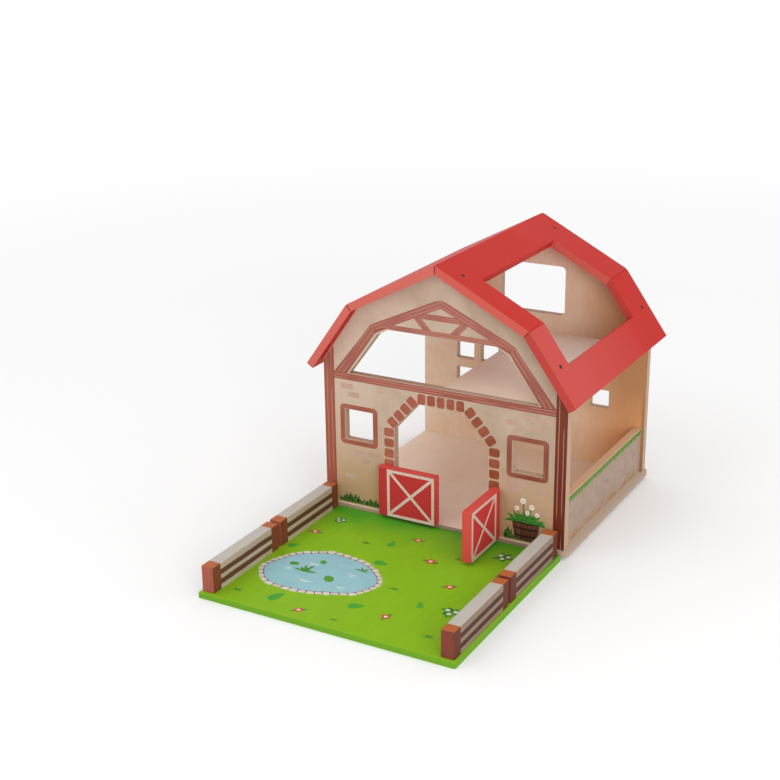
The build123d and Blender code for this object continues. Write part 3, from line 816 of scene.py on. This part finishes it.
def draw_loft_frame(drawing):
    """Struts beside the loft opening and the small truss over it."""
    foot = -HALF_WALL + POST_W
    strut = [(foot, BEAM_HIGH), (-99.6, BEAM_HIGH), (-68.0, 177.9), (-72.8, 185.2), (-84.8, 169.4)]
    draw_both(drawing, strut, (-106.6, BEAM_HIGH), (-71.2, 182.0), 10.0)
    chord = [(-68.0, 177.7), (-56.6, CHORD_LOW), (56.6, CHORD_LOW), (68.0, 177.7)]
    chord += [(71, 183), (60, CHORD_HIGH), (-60, CHORD_HIGH), (-71, 183)]
    middle = (CHORD_LOW + CHORD_HIGH) / 2
    draw_timber(drawing, chord, (-60, middle), (60, middle), 5.0, SECOND_PASS)
    rafter = [(-74.2, 184.2), (-68.4, 181.0), (-48.4, CHORD_HIGH), (0, 210.1)]
    rafter += [(0, 217.2), (-5, 216.2), (-9.5, 214.3), (-64.6, 188.9)]
    draw_both(drawing, rafter, (-66, 184), (0, 214), 8.0, THIRD_PASS)
    tie = [(-28, TIE_LOW), (28, TIE_LOW), (16, TIE_HIGH), (-16, TIE_HIGH)]
    middle = (TIE_LOW + TIE_HIGH) / 2
    draw_timber(drawing, tie, (-28, middle), (28, middle), 5.3, SECOND_PASS)
    brace = [(-28.6, TIE_LOW + 0.5), (-20.2, TIE_LOW + 0.5), (-9.6, CHORD_HIGH), (-18.4, CHORD_HIGH)]
    draw_both(drawing, brace, (-24.4, TIE_LOW), (-14, CHORD_HIGH), 7.0)


# %% Print the timber frame
with printing(FRONT, front_timber_frame="timber", front_right_post="painted_shadow_timber") as (timbers, post):
    draw_post(timbers, -1)
    draw_post(post, 1)
    draw_loft_frame(timbers)
    draw_main_beam(timbers, THIRD_PASS)

# %% [markdown]
# The window frames are printed the same way: four short timbers round each small window,
# mitred at the corners and rounded outside. One function draws a frame of any size, so
# it also serves the windows of the back wall.

# %% Print the window frames
WINDOW_X, WINDOW_Z = 87.3, 82.25
WINDOW_HALF_W, WINDOW_HALF_H = 15.0, 15.25
SIDE_FRAME_W, LEVEL_FRAME_W = 4.8, 4.4
FRAME_LINE_MM = 0.35
EASED_EDGE = 0.55
CORNER_CUT = 2.0


def draw_frame(drawing, centre, half_w, half_h):
    """Four mitred timbers round one window."""
    side_w, level_w = SIDE_FRAME_W, LEVEL_FRAME_W
    inner_w, inner_h = half_w + EASED_EDGE, half_h + EASED_EDGE
    outer_w, outer_h = inner_w + side_w, inner_h + level_w
    near, far = CORNER_CUT * 0.3, CORNER_CUT
    for side in (-1, 1):
        level = [(-inner_w, inner_h), (-outer_w + near, outer_h - far), (-outer_w + far, outer_h - near)]
        level += [(-outer_w + 2 * far, outer_h)]
        level += [(-x, z) for x, z in reversed(level)]
        upright = [(inner_w, inner_h), (outer_w - near, outer_h - far), (outer_w, outer_h - 2 * far)]
        upright += [(x, -z) for x, z in reversed(upright)]
        level_z, upright_x = side * (inner_h + level_w / 2), side * (inner_w + side_w / 2)
        for points, start, end, width in (
            ([(x, side * z) for x, z in level], (-outer_w, level_z), (outer_w, level_z), level_w),
            ([(side * x, z) for x, z in upright], (upright_x, -outer_h), (upright_x, outer_h), side_w),
        ):
            moved = [(centre[0] + x, centre[1] + z) for x, z in (*points, start, end)]
            draw_timber(drawing, moved[:-2], moved[-2], moved[-1], width, line_mm=FRAME_LINE_MM)


with printing(FRONT, front_window_frames="timber") as [window_frames]:
    for x in (-WINDOW_X, WINDOW_X):
        draw_frame(window_frames, (x, WINDOW_Z), WINDOW_HALF_W, WINDOW_HALF_H)

# %% [markdown]
# ## Bricks round the doorway
#
# The doorway has a flat arch of thirteen bricks and eight more down each jamb. They are
# laid out by walking along a line just outside the sawn edge: each straight stretch of it
# is divided into whole bricks, and each brick is a rounded rectangle that stands square
# to the edge. The bricks are darkened towards the right with painted shade, and a little
# turn and a shade of its own keep the row from looking stamped.

# %% Print the doorway bricks
DOORWAY_EDGE = ((-49, 2.2), (-49, 86), (-23.3, 115), (23.3, 115), (49, 86), (49, 2.2))
BRICK_PITCH = 10.5
BRICK_GAP = 2.0
BRICK_DEPTH = 10.2
BRICK_R = 2.0
BRICK_LEAN, BRICK_SPREAD = 0.03, 0.04
WALK_DEPTH = 3.0


def walk_beside(points, distance):
    """Stretches of the line at one distance outside another line, with mitred corners."""
    points = [Vector(point) for point in points]
    ways = [(end - start).normalized() for start, end in zip(points, points[1:])]
    normals = [Vector((-along.y, along.x)) for along in ways]
    moved = [points[0] + normals[0] * distance]
    for point, before, after in zip(points[1:], normals, normals[1:]):
        moved.append(point + (before + after) * distance / (1 + before.dot(after)))
    moved.append(points[-1] + normals[-1] * distance)
    return list(zip(moved, moved[1:], normals))


def draw_arch_bricks(drawing):
    """Bricks along the doorway's edge, outside it."""
    count = 0
    for stretch, (start, end, outward) in enumerate(walk_beside(DOORWAY_EDGE, EASED_EDGE + WALK_DEPTH)):
        along = (end - start).normalized()
        bricks = round((end - start).length / BRICK_PITCH)
        pitch = (end - start).length / bricks
        for number in range(bricks):
            middle = start + along * pitch * (number + 0.5) + outward * (BRICK_DEPTH / 2 - WALK_DEPTH)
            lean = BRICK_LEAN * uneven(count)
            side = Vector((along.x - along.y * lean, along.y + along.x * lean))
            up = Vector((-side.y, side.x))
            half_l = (pitch - BRICK_GAP) / 2 * (1 + BRICK_SPREAD * uneven(count, 1))
            half_d = BRICK_DEPTH / 2 * (1 + BRICK_SPREAD * uneven(count, 2))
            corners = [middle + side * (a * half_l) + up * (b * half_d) for a, b in rectangle(-1, -1, 1, 1)]
            # The share of x darkens the bricks towards the right: painted shade.
            shade = 0.45 + 0.3 * middle.x / DOORWAY_EDGE[-1][0] + 0.2 * uneven(count, 3)
            draw_shape(drawing, corners, BRICK_R, own=shade, lift=SECOND_PASS * (stretch % 2))
            count += 1
    return count


with printing(FRONT, doorway_bricks="brick") as [arch]:
    print(draw_arch_bricks(arch), "bricks")

# %% [markdown]
# Here and there a few pale bricks show through the wash of the wall, as on any old farm
# building. They are a shade pinker than the wall and no more, in small groups laid in
# half bond. Each group is given by its left end, its height, its rows and the bricks in a
# row.

# %% Print the faint bricks
FRONT_FAINT = (
    (66, 112, 1, 1), (72, 104, 1, 1), (84, 118, 2, 2), (63, 55, 2, 2), (97, 50, 1, 1),
    (97, 30, 1, 1), (-106, 118, 2, 1), (-92, 52, 2, 2), (-104, 26, 1, 1), (-66, 119, 1, 1),
)
FAINT_L, FAINT_H = 12.6, 5.2
FAINT_PITCH, FAINT_BED = FAINT_L + 1.5, 7.6
FAINT_R = 0.8


def draw_faint_bricks(drawing, groups):
    """Groups of bricks with a shade of their own."""
    for number, (left, high, rows, in_row) in enumerate(groups):
        for row in range(rows):
            for place in range(in_row - row % 2 * (in_row > 1)):
                x = left + row * FAINT_L * 0.55 + place * FAINT_PITCH
                z = high - row * FAINT_BED
                shade = 0.5 + 0.4 * uneven(number * 7 + row * 3 + place)
                draw_shape(drawing, rectangle(x, z, x + FAINT_L, z + FAINT_H), FAINT_R, own=shade)


with printing(FRONT, front_faint_bricks="faint_brick") as [faint]:
    draw_faint_bricks(faint, FRONT_FAINT)

# %% [markdown]
# ## Grass at the foot of the wall
#
# Dark grass grows along the foot of the front wall, on both sides of the doorway. A blade
# is a short leaf shape with its own height, lean and shade. The same row of blades,
# turned upside down, makes the green trim that hangs from the top of the low wall.

# %% Print grass on the front wall
GRASS_FOOT = 0.7
FRONT_GRASS = (
    (-111, -66, 7.0), (-104, -88, 12.0), (-79, -70, 10.0),
    (65.5, 111, 7.5), (66, 73, 13.0), (102, 109, 10.0),
)


def draw_grass(drawing, left, right, foot, height, up=1, per_mm=1.0, wide=2.3):
    """Row of blades that stand on a line, or hang from it."""
    for number in range(round((right - left) * per_mm)):
        x = left + (number + 0.5) / per_mm
        tall = height * (0.72 + 0.28 * uneven(number, left))
        heading = up * math.pi / 2 + 0.45 * uneven(number, left + 1)
        bend = 0.5 * uneven(number, left + 2)
        shade = 0.5 + 0.5 * uneven(number, left + 3)
        draw_leaf(drawing, (x, foot), heading, tall, wide, bend, shade, number % 5 + 1)


with printing(FRONT, front_wall_grass="dark_grass") as [wall_grass]:
    for left, right, height in FRONT_GRASS:
        draw_grass(wall_grass, left, right, GRASS_FOOT, height)

# %% [markdown]
# ## The planter beside the door
#
# A wooden half tub with daisies stands on the grass to the right of the doorway. It is
# drawn in the order in which it would be painted: staves, hoops, leaves, stems, petals.
# The staves are cut from one trapezium by a loop, and each daisy is a ring of petals.

# %% Draw the tub
TUB_X, TUB_FOOT, TUB_TALL = 87.0, 3.6, 16.5
TUB_HALF_FOOT, TUB_HALF_TOP = 10.8, 13.8
TUB_SAG = 0.9
STAVES = 7
STAVE_GAP = 0.06
HOOP_STEPS = 8
TUB_BANDS = ((-0.03, 1.02, 0.6, -2), (0.14, 0.24, 0.2, 3), (0.58, 0.68, 0.2, 3), (0.92, 1.02, 0.2, 3))
PLANTER_LIFT = 8


def tub_edge(share, height):
    """Point on the tub, by its place from left to right and from foot to rim."""
    half = TUB_HALF_FOOT + (TUB_HALF_TOP - TUB_HALF_FOOT) * height
    sag = TUB_SAG * (4 * share * (1 - share))
    return (TUB_X - half + 2 * half * share, TUB_FOOT + TUB_TALL * height - sag)


def draw_tub(staves, hoops):
    """Staves over a dark ground, with three hoops round them."""
    for number in range(STAVES):
        left, right = (number + STAVE_GAP) / STAVES, (number + 1 - STAVE_GAP) / STAVES
        corners = [tub_edge(*corner) for corner in rectangle(left, 0, right, 1)]
        draw_shape(staves, corners, own=0.5 + 0.35 * uneven(number, 5), lift=PLANTER_LIFT)
    for low, high, shade, hairs in TUB_BANDS:
        under = [tub_edge(step / HOOP_STEPS, low) for step in range(HOOP_STEPS + 1)]
        over = [tub_edge(1 - step / HOOP_STEPS, high) for step in range(HOOP_STEPS + 1)]
        draw_shape(hoops, under + over, own=shade, lift=PLANTER_LIFT + hairs)


# %% Draw what grows in the tub, and print both
DAISIES = ((78.0, 32.5, 2.7), (84.0, 40.5, 3.2), (92.5, 36.0, 3.0), (98.0, 29.5, 2.5), (88.5, 29.5, 2.6))
TUB_LEAVES = 26
TUB_LEAF_L, TUB_LEAF_SPREAD, TUB_LEAF_W = 10.5, 4.5, 2.7


def draw_planter_leaves(drawing):
    """Leaves that spread from the tub's rim, and the daisies' stems."""
    rim = TUB_FOOT + TUB_TALL - 0.6
    for number in range(TUB_LEAVES):
        share = number / (TUB_LEAVES - 1)
        root = (TUB_X + (share - 0.5) * 20, rim + 0.4 * uneven(number))
        heading = math.pi * (0.94 - 0.88 * share) + 0.15 * uneven(number, 1)
        length = TUB_LEAF_L + TUB_LEAF_SPREAD * uneven(number, 2)
        bend, shade = (share - 0.5) * -1.3, 0.72 + 0.28 * uneven(number, 3)
        lift = PLANTER_LIFT + 4 + number % 6
        draw_leaf(drawing, root, heading, length, TUB_LEAF_W, bend, shade, lift)
    for x, z, _ in DAISIES:
        foot = (TUB_X + (x - TUB_X) * 0.4, rim)
        draw_line(drawing, foot, (x, z), 0.8, own=0.7, lift=PLANTER_LIFT + 10)


def draw_daisy(petals, hearts, x, y, size, lift, petal_count=7):
    """Ring of petals and its heart."""
    for number in range(petal_count):
        heading = math.tau * number / petal_count + 0.3 * x
        shade = 0.35 + 0.3 * uneven(number, x)
        draw_leaf(petals, (x, y), heading, size, size * 0.62, own=shade, lift=lift + number % 3)
    draw_blob(hearts, (x, y), (size * 0.3, size * 0.3), own=0.5, lift=lift + 4, sides=12)


with printing(FRONT, planter_staves="tub_stave", planter_hoops="tub_hoop") as (staves, hoops):
    draw_tub(staves, hoops)
with printing(FRONT, planter_leaves="leaf") as [planter_leaves]:
    draw_planter_leaves(planter_leaves)
with printing(FRONT, planter_petals="petal", planter_flower_hearts="pollen") as (petals, hearts):
    for daisy in DAISIES:
        draw_daisy(petals, hearts, *daisy, PLANTER_LIFT + 12)

# %% [markdown]
# ## The low wall
#
# The low wall on the open side is printed outside only, as whitewashed stone: a pale film
# over the whole face, smudged bricks in loose pairs, mounds of earth along the foot, and
# grass that hangs from the top. The film is printed darker than the front wall's wash:
# painted shade on the side that faces away from the light.

# %% Print the low wall
RIM = 0.7
WALL_RIGHT = (low_wall_high.y - low_wall_low.y) / MM - RIM
WALL_TOP = (low_wall_high.z - low_wall_low.z) / MM - RIM
TRIM_W = 2.9
EARTH_L = 12.5
SMUDGES, SMUDGES_IN_ROW, SMUDGE_PITCH = 15, 8, 23.5
SMUDGE_L, SMUDGE_H = 10.5, 4.8


def draw_smudges(drawing):
    """Pairs of smudged bricks, spread unevenly over the low wall in two rows."""
    for number in range(SMUDGES):
        lower_row = number >= SMUDGES_IN_ROW
        x = 8 + number % SMUDGES_IN_ROW * SMUDGE_PITCH + 6 * uneven(number) + 11 * lower_row
        z = (8 if lower_row else 24) + 4 * uneven(number, 1)
        for place in range(1 + number % 2):
            left, low = x + place * (SMUDGE_L * 0.6), z - place * (SMUDGE_H + 1.6)
            corners = rectangle(left, low, left + SMUDGE_L, low + SMUDGE_H)
            draw_shape(drawing, corners, 1.4, own=0.4 + 0.5 * uneven(number, 2 + place), lift=SECOND_PASS)


def draw_earth(drawing):
    """Low mounds of trodden earth that overlap along the wall's foot."""
    for number in range(int((WALL_RIGHT - RIM - 6) / EARTH_L)):
        x, tall = RIM + number * EARTH_L, 6.5 + 3.5 * uneven(number, 4)
        mound = [(x, RIM), (x + EARTH_L + 5, RIM), (x + EARTH_L + 1, RIM + tall), (x + 4, RIM + tall * 0.8)]
        draw_shape(drawing, mound, 1.6, own=0.5 + 0.4 * uneven(number, 6), lift=1 + number % 2)


with printing(LOW_WALL_FACE, low_wall_whitewash="whitewash", low_wall_earth="earth") as (whitewash, earth):
    draw_shape(whitewash, rectangle(RIM, RIM, WALL_RIGHT, WALL_TOP), 0.6)
    draw_earth(earth)
with printing(LOW_WALL_FACE, low_wall_smudged_bricks="smudged_brick") as [smudges]:
    draw_smudges(smudges)
with printing(LOW_WALL_FACE, low_wall_grass_trim="grass_trim") as [trim]:
    draw_shape(trim, rectangle(RIM, WALL_TOP - TRIM_W, WALL_RIGHT, WALL_TOP), own=0.45, lift=SECOND_PASS)
    draw_grass(trim, RIM + 1, WALL_RIGHT - 1, WALL_TOP - TRIM_W / 2, 6.2, up=-1, per_mm=0.62, wide=1.9)

# %% [markdown]
# ## The back wall
#
# The outside of the back wall carries the same timber print, simpler: two posts, one
# beam, and a frame round each opening. Each of its two windows has four panes, so a cross
# is printed between them. Nothing of this wall can be seen from the yard.

# %% Print the back wall
HAY_HALF_W, HAY_HALF_H, HAY_Z = 35.0, 25.25, 178.75
PANE_X, PANE_Z = 62.0, 86.0
PANE_PITCH_X, PANE_PITCH_Z = 28.0, 29.0
PANE_HALF_W, PANE_HALF_H = 10.0, 9.5
REACH_W, REACH_H = PANE_PITCH_X / 2 + PANE_HALF_W, PANE_PITCH_Z / 2 + PANE_HALF_H
BAR_HALF_W = PANE_PITCH_X / 2 - PANE_HALF_W - EASED_EDGE
BAR_HALF_H = PANE_PITCH_Z / 2 - PANE_HALF_H - EASED_EDGE
BACK_FAINT = ((-20, 110, 2, 2), (8, 60, 2, 1), (-18, 30, 2, 2), (90, 36, 2, 1), (-108, 116, 1, 1))
BACK_GRASS = ((-111, 111, 6.0), (-96, -84, 11.0), (40, 55, 10.0))


def draw_cross_window(drawing, x):
    """Frame round four panes and the cross between them."""
    draw_frame(drawing, (x, PANE_Z), REACH_W, REACH_H)
    bar_low, bar_high = PANE_Z - BAR_HALF_H, PANE_Z + BAR_HALF_H
    draw_level_beam(drawing, x - REACH_W, x + REACH_W, bar_low, bar_high, SECOND_PASS)
    low, high = PANE_Z - REACH_H, PANE_Z + REACH_H
    bar = rectangle(x - BAR_HALF_W, low, x + BAR_HALF_W, high)
    draw_timber(drawing, bar, (x, low), (x, high), 2 * BAR_HALF_W)


with printing(BACK, back_timber_frame="timber") as [back_frame]:
    for side in (-1, 1):
        draw_post(back_frame, side)
        draw_cross_window(back_frame, side * PANE_X)
    draw_main_beam(back_frame, SECOND_PASS)
    draw_frame(back_frame, (0, HAY_Z), HAY_HALF_W, HAY_HALF_H)
with printing(BACK, back_faint_bricks="faint_brick", back_wall_grass="dark_grass") as (faint, wall_grass):
    draw_faint_bricks(faint, BACK_FAINT)
    for left, right, height in BACK_GRASS:
        draw_grass(wall_grass, left, right, GRASS_FOOT, height)

# %% [markdown]
# ## Door bracing
#
# Each leaf carries the white bracing of a stable door: lines along the top, the bottom,
# the free edge and near the hinge, and a cross between them. The right leaf's drawing is
# the left one's mirror image and is laid on the open leaf.

# %% Print the door bracing
LINE_W = 2.8
LINE_INSET = 2.0
HINGE_MARGIN = 12.5


def draw_door(drawing, leaf_l, leaf_h, hinge_at_start):
    """Four border lines and the cross between them, for either leaf."""
    left, right = LINE_INSET, leaf_l - HINGE_MARGIN
    if hinge_at_start:
        left, right = HINGE_MARGIN, leaf_l - LINE_INSET
    low, high = LINE_INSET, leaf_h - LINE_INSET
    half = LINE_W / 2
    draw_line(drawing, (left, low), (right, high), LINE_W)
    draw_line(drawing, (left, high), (right, low), LINE_W, lift=SECOND_PASS)
    for z in (low, high):
        draw_line(drawing, (left - half, z), (right + half, z), LINE_W, lift=THIRD_PASS)
    for x in (left, right):
        draw_line(drawing, (x, low - half), (x, high + half), LINE_W, lift=THIRD_PASS + SECOND_PASS)


left_low, left_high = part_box("left_door")
right_low, right_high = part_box("right_door")
leaf_l, leaf_h = (left_high.x - left_low.x) / MM, (left_high.z - left_low.z) / MM
left_sheet = sheet_on(left_low, RIGHTWARDS)
right_sheet = sheet_on((right_high.x, right_low.y, right_low.z), BACKWARDS)
for door, sheet, hinge_at_start in (("left_door", left_sheet, True), ("right_door", right_sheet, False)):
    with printing((sheet, door, "door_print"), **{f"{door}_bracing": "white_line"}) as [bracing]:
        draw_door(bracing, leaf_l, leaf_h, hinge_at_start)

# %% [markdown]
# ## Joints of the roof
#
# Where two roof boards meet, their ends show a fine dark line: the joint's shadow,
# painted as a thin film of deep red. It is drawn on both ends of the roof as three short
# lines from the inner to the outer corner.

# %% Print the roof joints
JOINT_LINE_W = 0.9
ROOF_JOINTS = (((0, 244.4), (0, 251.2)), ((86.8, 199.4), (90.9, 204.4)), ((-86.8, 199.4), (-90.9, 204.4)))

roof_low, roof_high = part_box("roof_left_upper")
for end_name, end_y, across in (("front", roof_low.y, RIGHTWARDS), ("back", roof_high.y, -RIGHTWARDS)):
    roof_end = (sheet_on((0, end_y, FLOOR_Z), across), "barn", "roof_red")
    with printing(roof_end, **{f"roof_{end_name}_joints": "joint_shadow_red"}) as [roof_joints]:
        for inner, outer in ROOF_JOINTS:
            draw_line(roof_joints, inner, outer, JOINT_LINE_W, own=0.5)

# %% [markdown]
# ## The pond
#
# The yard has a pond with a rim of pale stones. Its outline is a circle whose radius
# swells and shrinks by three slow waves, so that water, joints and stones can all follow
# it at their own distance. The dark film under the stones shows between them as joints.

# %% Print the pond
POND_X, POND_Y = -49.0, -131.0
POND_W, POND_D = 50.0, 37.0
POND_WAVES = ((0.07, 2, 0.4), (0.05, 3, 2.2), (0.015, 8, 0.0))
POND_STEPS = 96
RIM_W = 4.6
STONES, STONE_INSIDE, STONE_R = 40, 0.2, 1.5


def pond_point(angle, outside=0.0):
    """Point on the pond's outline, or outside it."""
    reach = 1 + sum(height * math.sin(count * angle + start) for height, count, start in POND_WAVES)
    x = (POND_W * reach + outside) * math.cos(angle)
    y = (POND_D * reach + outside) * math.sin(angle)
    return (POND_X + x, POND_Y + y)


def draw_pond_outline(drawing, outside, lift):
    """The pond's whole shape, or a little more of it."""
    points = [pond_point(math.tau * step / POND_STEPS, outside) for step in range(POND_STEPS)]
    draw_shape(drawing, points, own=0.5, lift=lift)


def draw_stones(drawing):
    """Ring of rounded stones outside the water."""
    for number in range(STONES):
        start = math.tau * (number + 0.06 + 0.04 * uneven(number)) / STONES
        end = math.tau * (number + 0.94 + 0.04 * uneven(number + 1)) / STONES
        out = RIM_W * (1 + 0.18 * uneven(number, 2))
        corners = [pond_point(*corner) for corner in rectangle(start, STONE_INSIDE, end, out)]
        draw_shape(drawing, corners, STONE_R, own=0.35 + 0.35 * uneven(number, 1), lift=5)


with printing(YARD, pond_joints="pond_joint", pond_water="water") as (joints, water):
    draw_pond_outline(joints, RIM_W * 0.72, 0)
    draw_pond_outline(water, -0.5, 4)
with printing(YARD, pond_stones="pond_stone") as [stones]:
    draw_stones(stones)

# %% [markdown]
# Pale glints, lily pads and two sprigs of reed float on the pond. A glint is a thin leaf
# shape with a shorter one beside it, and a pad is a round blob with one notch.

# %% Print what floats on the pond
GLINTS = (
    (-70, -118, 14, 0.5), (-28, -122, 12, -0.4), (-62, -148, 17, 0.35),
    (-25, -146, 11, 0.5), (-84, -136, 9, -0.5),
)
GLINT_W, ECHO_W = 1.1, 0.9
PADS = ((-36, -138, 6.0), (-79, -126, 4.6), (-58, -112, 4.0))
REEDS = ((-64, -136, 6, 15), (-18, -112, 4, 10))


def draw_sprig(drawing, x, y, leaves, size, lift):
    """Fan of curved leaves from one root."""
    for number in range(leaves):
        share = number / (leaves - 1)
        heading = math.pi * (0.12 + 0.76 * share)
        length = size * (0.8 + 0.3 * uneven(number, x))
        bend = 0.9 * (share - 0.5) + 0.3 * uneven(number, y)
        shade = 0.45 + 0.4 * uneven(number, x + y)
        draw_leaf(drawing, (x, y), heading, length, size * 0.2, bend, shade, lift + number % 4)


with printing(YARD, pond_glints="petal", pond_leaves="leaf") as (glints, leaves):
    for number, (x, y, length, bend) in enumerate(GLINTS):
        draw_leaf(glints, (x, y), 0.1 * uneven(number) - bend / 2, length, GLINT_W, bend, 0.3, 6)
        draw_leaf(glints, (x + 3, y - 2.6), -bend / 2, length * 0.55, ECHO_W, bend, 0.3, 6)
    for x, y, size in PADS:
        draw_blob(leaves, (x, y), (size, size * 0.72), 1, 0.16, 0.6 + x, 0.25, 6)
    for reed in REEDS:
        draw_sprig(leaves, *reed, 8)

# %% [markdown]
# ## Plants in the yard
#
# Small red flowers with white hearts and two leaves, soft green spots, leafy bushes with
# daisies, and loose tufts are scattered over the grass. Each kind is one short list of
# places and sizes.

# %% Print the yard's plants
RED_FLOWERS = (
    (26, -66, 4.6), (63, -101, 4.0), (-98, -62, 4.2), (40, -172, 3.9),
    (-4, -34, 3.6), (94, -62, 3.4), (-30, -196, 3.8),
)
SPOTS = (
    (-12, -90, 6.5, 4.0), (8, -168, 7.0, 4.2), (-101, -96, 5.0, 3.6),
    (-60, -186, 8.0, 4.4), (-22, -52, 6.0, 3.2), (56, -142, 5.0, 3.0),
)
BUSHES = ((84, -140, 12.0), (80, -28, 12.0), (-90, -30, 9.0))
BUSH_LEAVES, BUSH_DAISIES = 11, 3
TUFTS = ((-44, -62, 6), (86, -186, 7), (22, -128, 6), (46, -52, 5), (-96, -192, 6), (4, -198, 5))


def draw_red_flower(leaves, flowers, hearts, x, y, size):
    """Five soft petals with a white heart over two leaves."""
    for heading in (0.5 + 0.1 * x, 3.4 + 0.1 * x):
        draw_leaf(leaves, (x, y), heading, size * 1.9, size * 0.8, 0.5, 0.4, 1)
    draw_blob(flowers, (x, y), (size, size * 0.85), 5, 0.22, 0.7 * x, 0.45, 3, sides=30)
    draw_blob(hearts, (x, y), (size * 0.42, size * 0.36), own=0.3, lift=5, sides=14)


def draw_bush(leaves, petals, hearts, x, y, size):
    """Ring of leaves with daisies among them."""
    for number in range(BUSH_LEAVES):
        heading = math.tau * number / BUSH_LEAVES + 0.4 * uneven(number)
        shade = 0.5 + 0.5 * uneven(number, x)
        length = size * (0.75 + 0.2 * uneven(number, y))
        draw_leaf(leaves, (x, y), heading, length, size * 0.36, 0.4, shade, 2 + number % 6)
    for number in range(BUSH_DAISIES):
        angle = 2.1 * number + 0.5
        daisy_x, daisy_y = x + size * 0.36 * math.cos(angle), y + size * 0.3 * math.sin(angle)
        draw_daisy(petals, hearts, daisy_x, daisy_y, size * 0.2, 9, petal_count=6)


YARD_INKS = {"yard_red_flowers": "red_petal", "yard_green_spots": "grass_spot", "yard_leaves": "leaf"}
YARD_INKS |= {"yard_petals": "petal", "yard_flower_hearts": "pollen"}
with printing(YARD, **YARD_INKS) as (red_flowers, spots, leaves, petals, hearts):
    for flower in RED_FLOWERS:
        draw_red_flower(leaves, red_flowers, petals, *flower)
    for number, (x, y, long, wide) in enumerate(SPOTS):
        shade = 0.5 + 0.3 * uneven(number)
        draw_blob(spots, (x, y), (long, wide), 3, 0.12, 0.4 * number, shade, 0, sides=28)
    for bush in BUSHES:
        draw_bush(leaves, petals, hearts, *bush)
    for x, y, size in TUFTS:
        draw_sprig(leaves, x, y, 5, size, 2)

# %% [markdown]
# ## Stage and light
#
# A pale floor and soft light from large lamps suit a painted toy: the shapes read by
# gentle shade and no highlight burns out. The world gives most of the light. Seen
# straight by the camera, or in a shiny surface, it is plain white. The floor is a pale
# diffuse sheet that keeps the toy's shadow and fades to white far behind it.

# %% Floor, world and lamps
WHITE = "ffffff"
WORLD_LIGHT = 0.92
FLOOR_SIZE = 15
FLOOR_LIGHT, FAR_FLOOR_LIGHT = 0.08, 0.3
FLOOR_FADE = (0.9, 4.0)
TOY_MIDDLE = Vector((0, 0, 0.1))
LAMPS = (("key_lamp", (-0.9, -1.3, 1.9), 1.1, 4), ("side_lamp", (1.5, -1.4, 0.7), 1.0, 12))


def looked_at(add):
    """Value that is 1 where the camera, a reflection or glass looks straight at a thing."""
    path = add("LightPath").outputs
    seen = add("Math", [path["Is Camera Ray"], path["Is Glossy Ray"]], "MAXIMUM")
    return add("Math", [seen, path["Is Transmission Ray"]], "MAXIMUM")


def make_floor():
    """Large pale floor that gains a little light of its own when it is looked at."""
    material, add, shader = new_finish("white_studio_floor", roughness=0.9, shine=0.0)
    distance = add("VectorMath", [add("TexCoord").outputs["Object"]], "LENGTH")
    light = add("MapRange", [distance, *FLOOR_FADE, FLOOR_LIGHT, FAR_FLOOR_LIGHT])
    strength = add("Math", [looked_at(add), light], "MULTIPLY")
    fill_inputs(shader, {"Base Color": "f2f2f2", "Emission Color": WHITE, "Emission Strength": strength})
    drawing = bmesh.new()
    bmesh.ops.create_grid(drawing, x_segments=1, y_segments=1, size=FLOOR_SIZE)
    link_mesh("studio_floor", drawing, material)


def make_world():
    """Soft grey light that looks white."""
    world = bpy.data.worlds.new("studio_world")
    world.use_nodes = True
    add = partial(add_node, world.node_tree)
    strength = add("MapRange", [looked_at(add), 0, 1, WORLD_LIGHT, 1])
    fill_inputs(world.node_tree.nodes["Background"], {"Color": WHITE, "Strength": strength})
    bpy.context.scene.world = world


def make_lamp(name, place, size, watts):
    """Square soft lamp that faces the middle of the toy."""
    lamp = bpy.data.objects.new(name, bpy.data.lights.new(name, "AREA"))
    lamp.data.size = size
    lamp.data.energy = watts
    lamp.location = place
    lamp.rotation_mode = "QUATERNION"
    lamp.rotation_quaternion = (TOY_MIDDLE - lamp.location).to_track_quat("-Z", "Y")
    bpy.context.scene.collection.objects.link(lamp)


make_floor()
make_world()
for lamp in LAMPS:
    make_lamp(*lamp)
bpy.context.scene.view_settings.view_transform = "Standard"
print("stage and", len(LAMPS), "lamps ready")
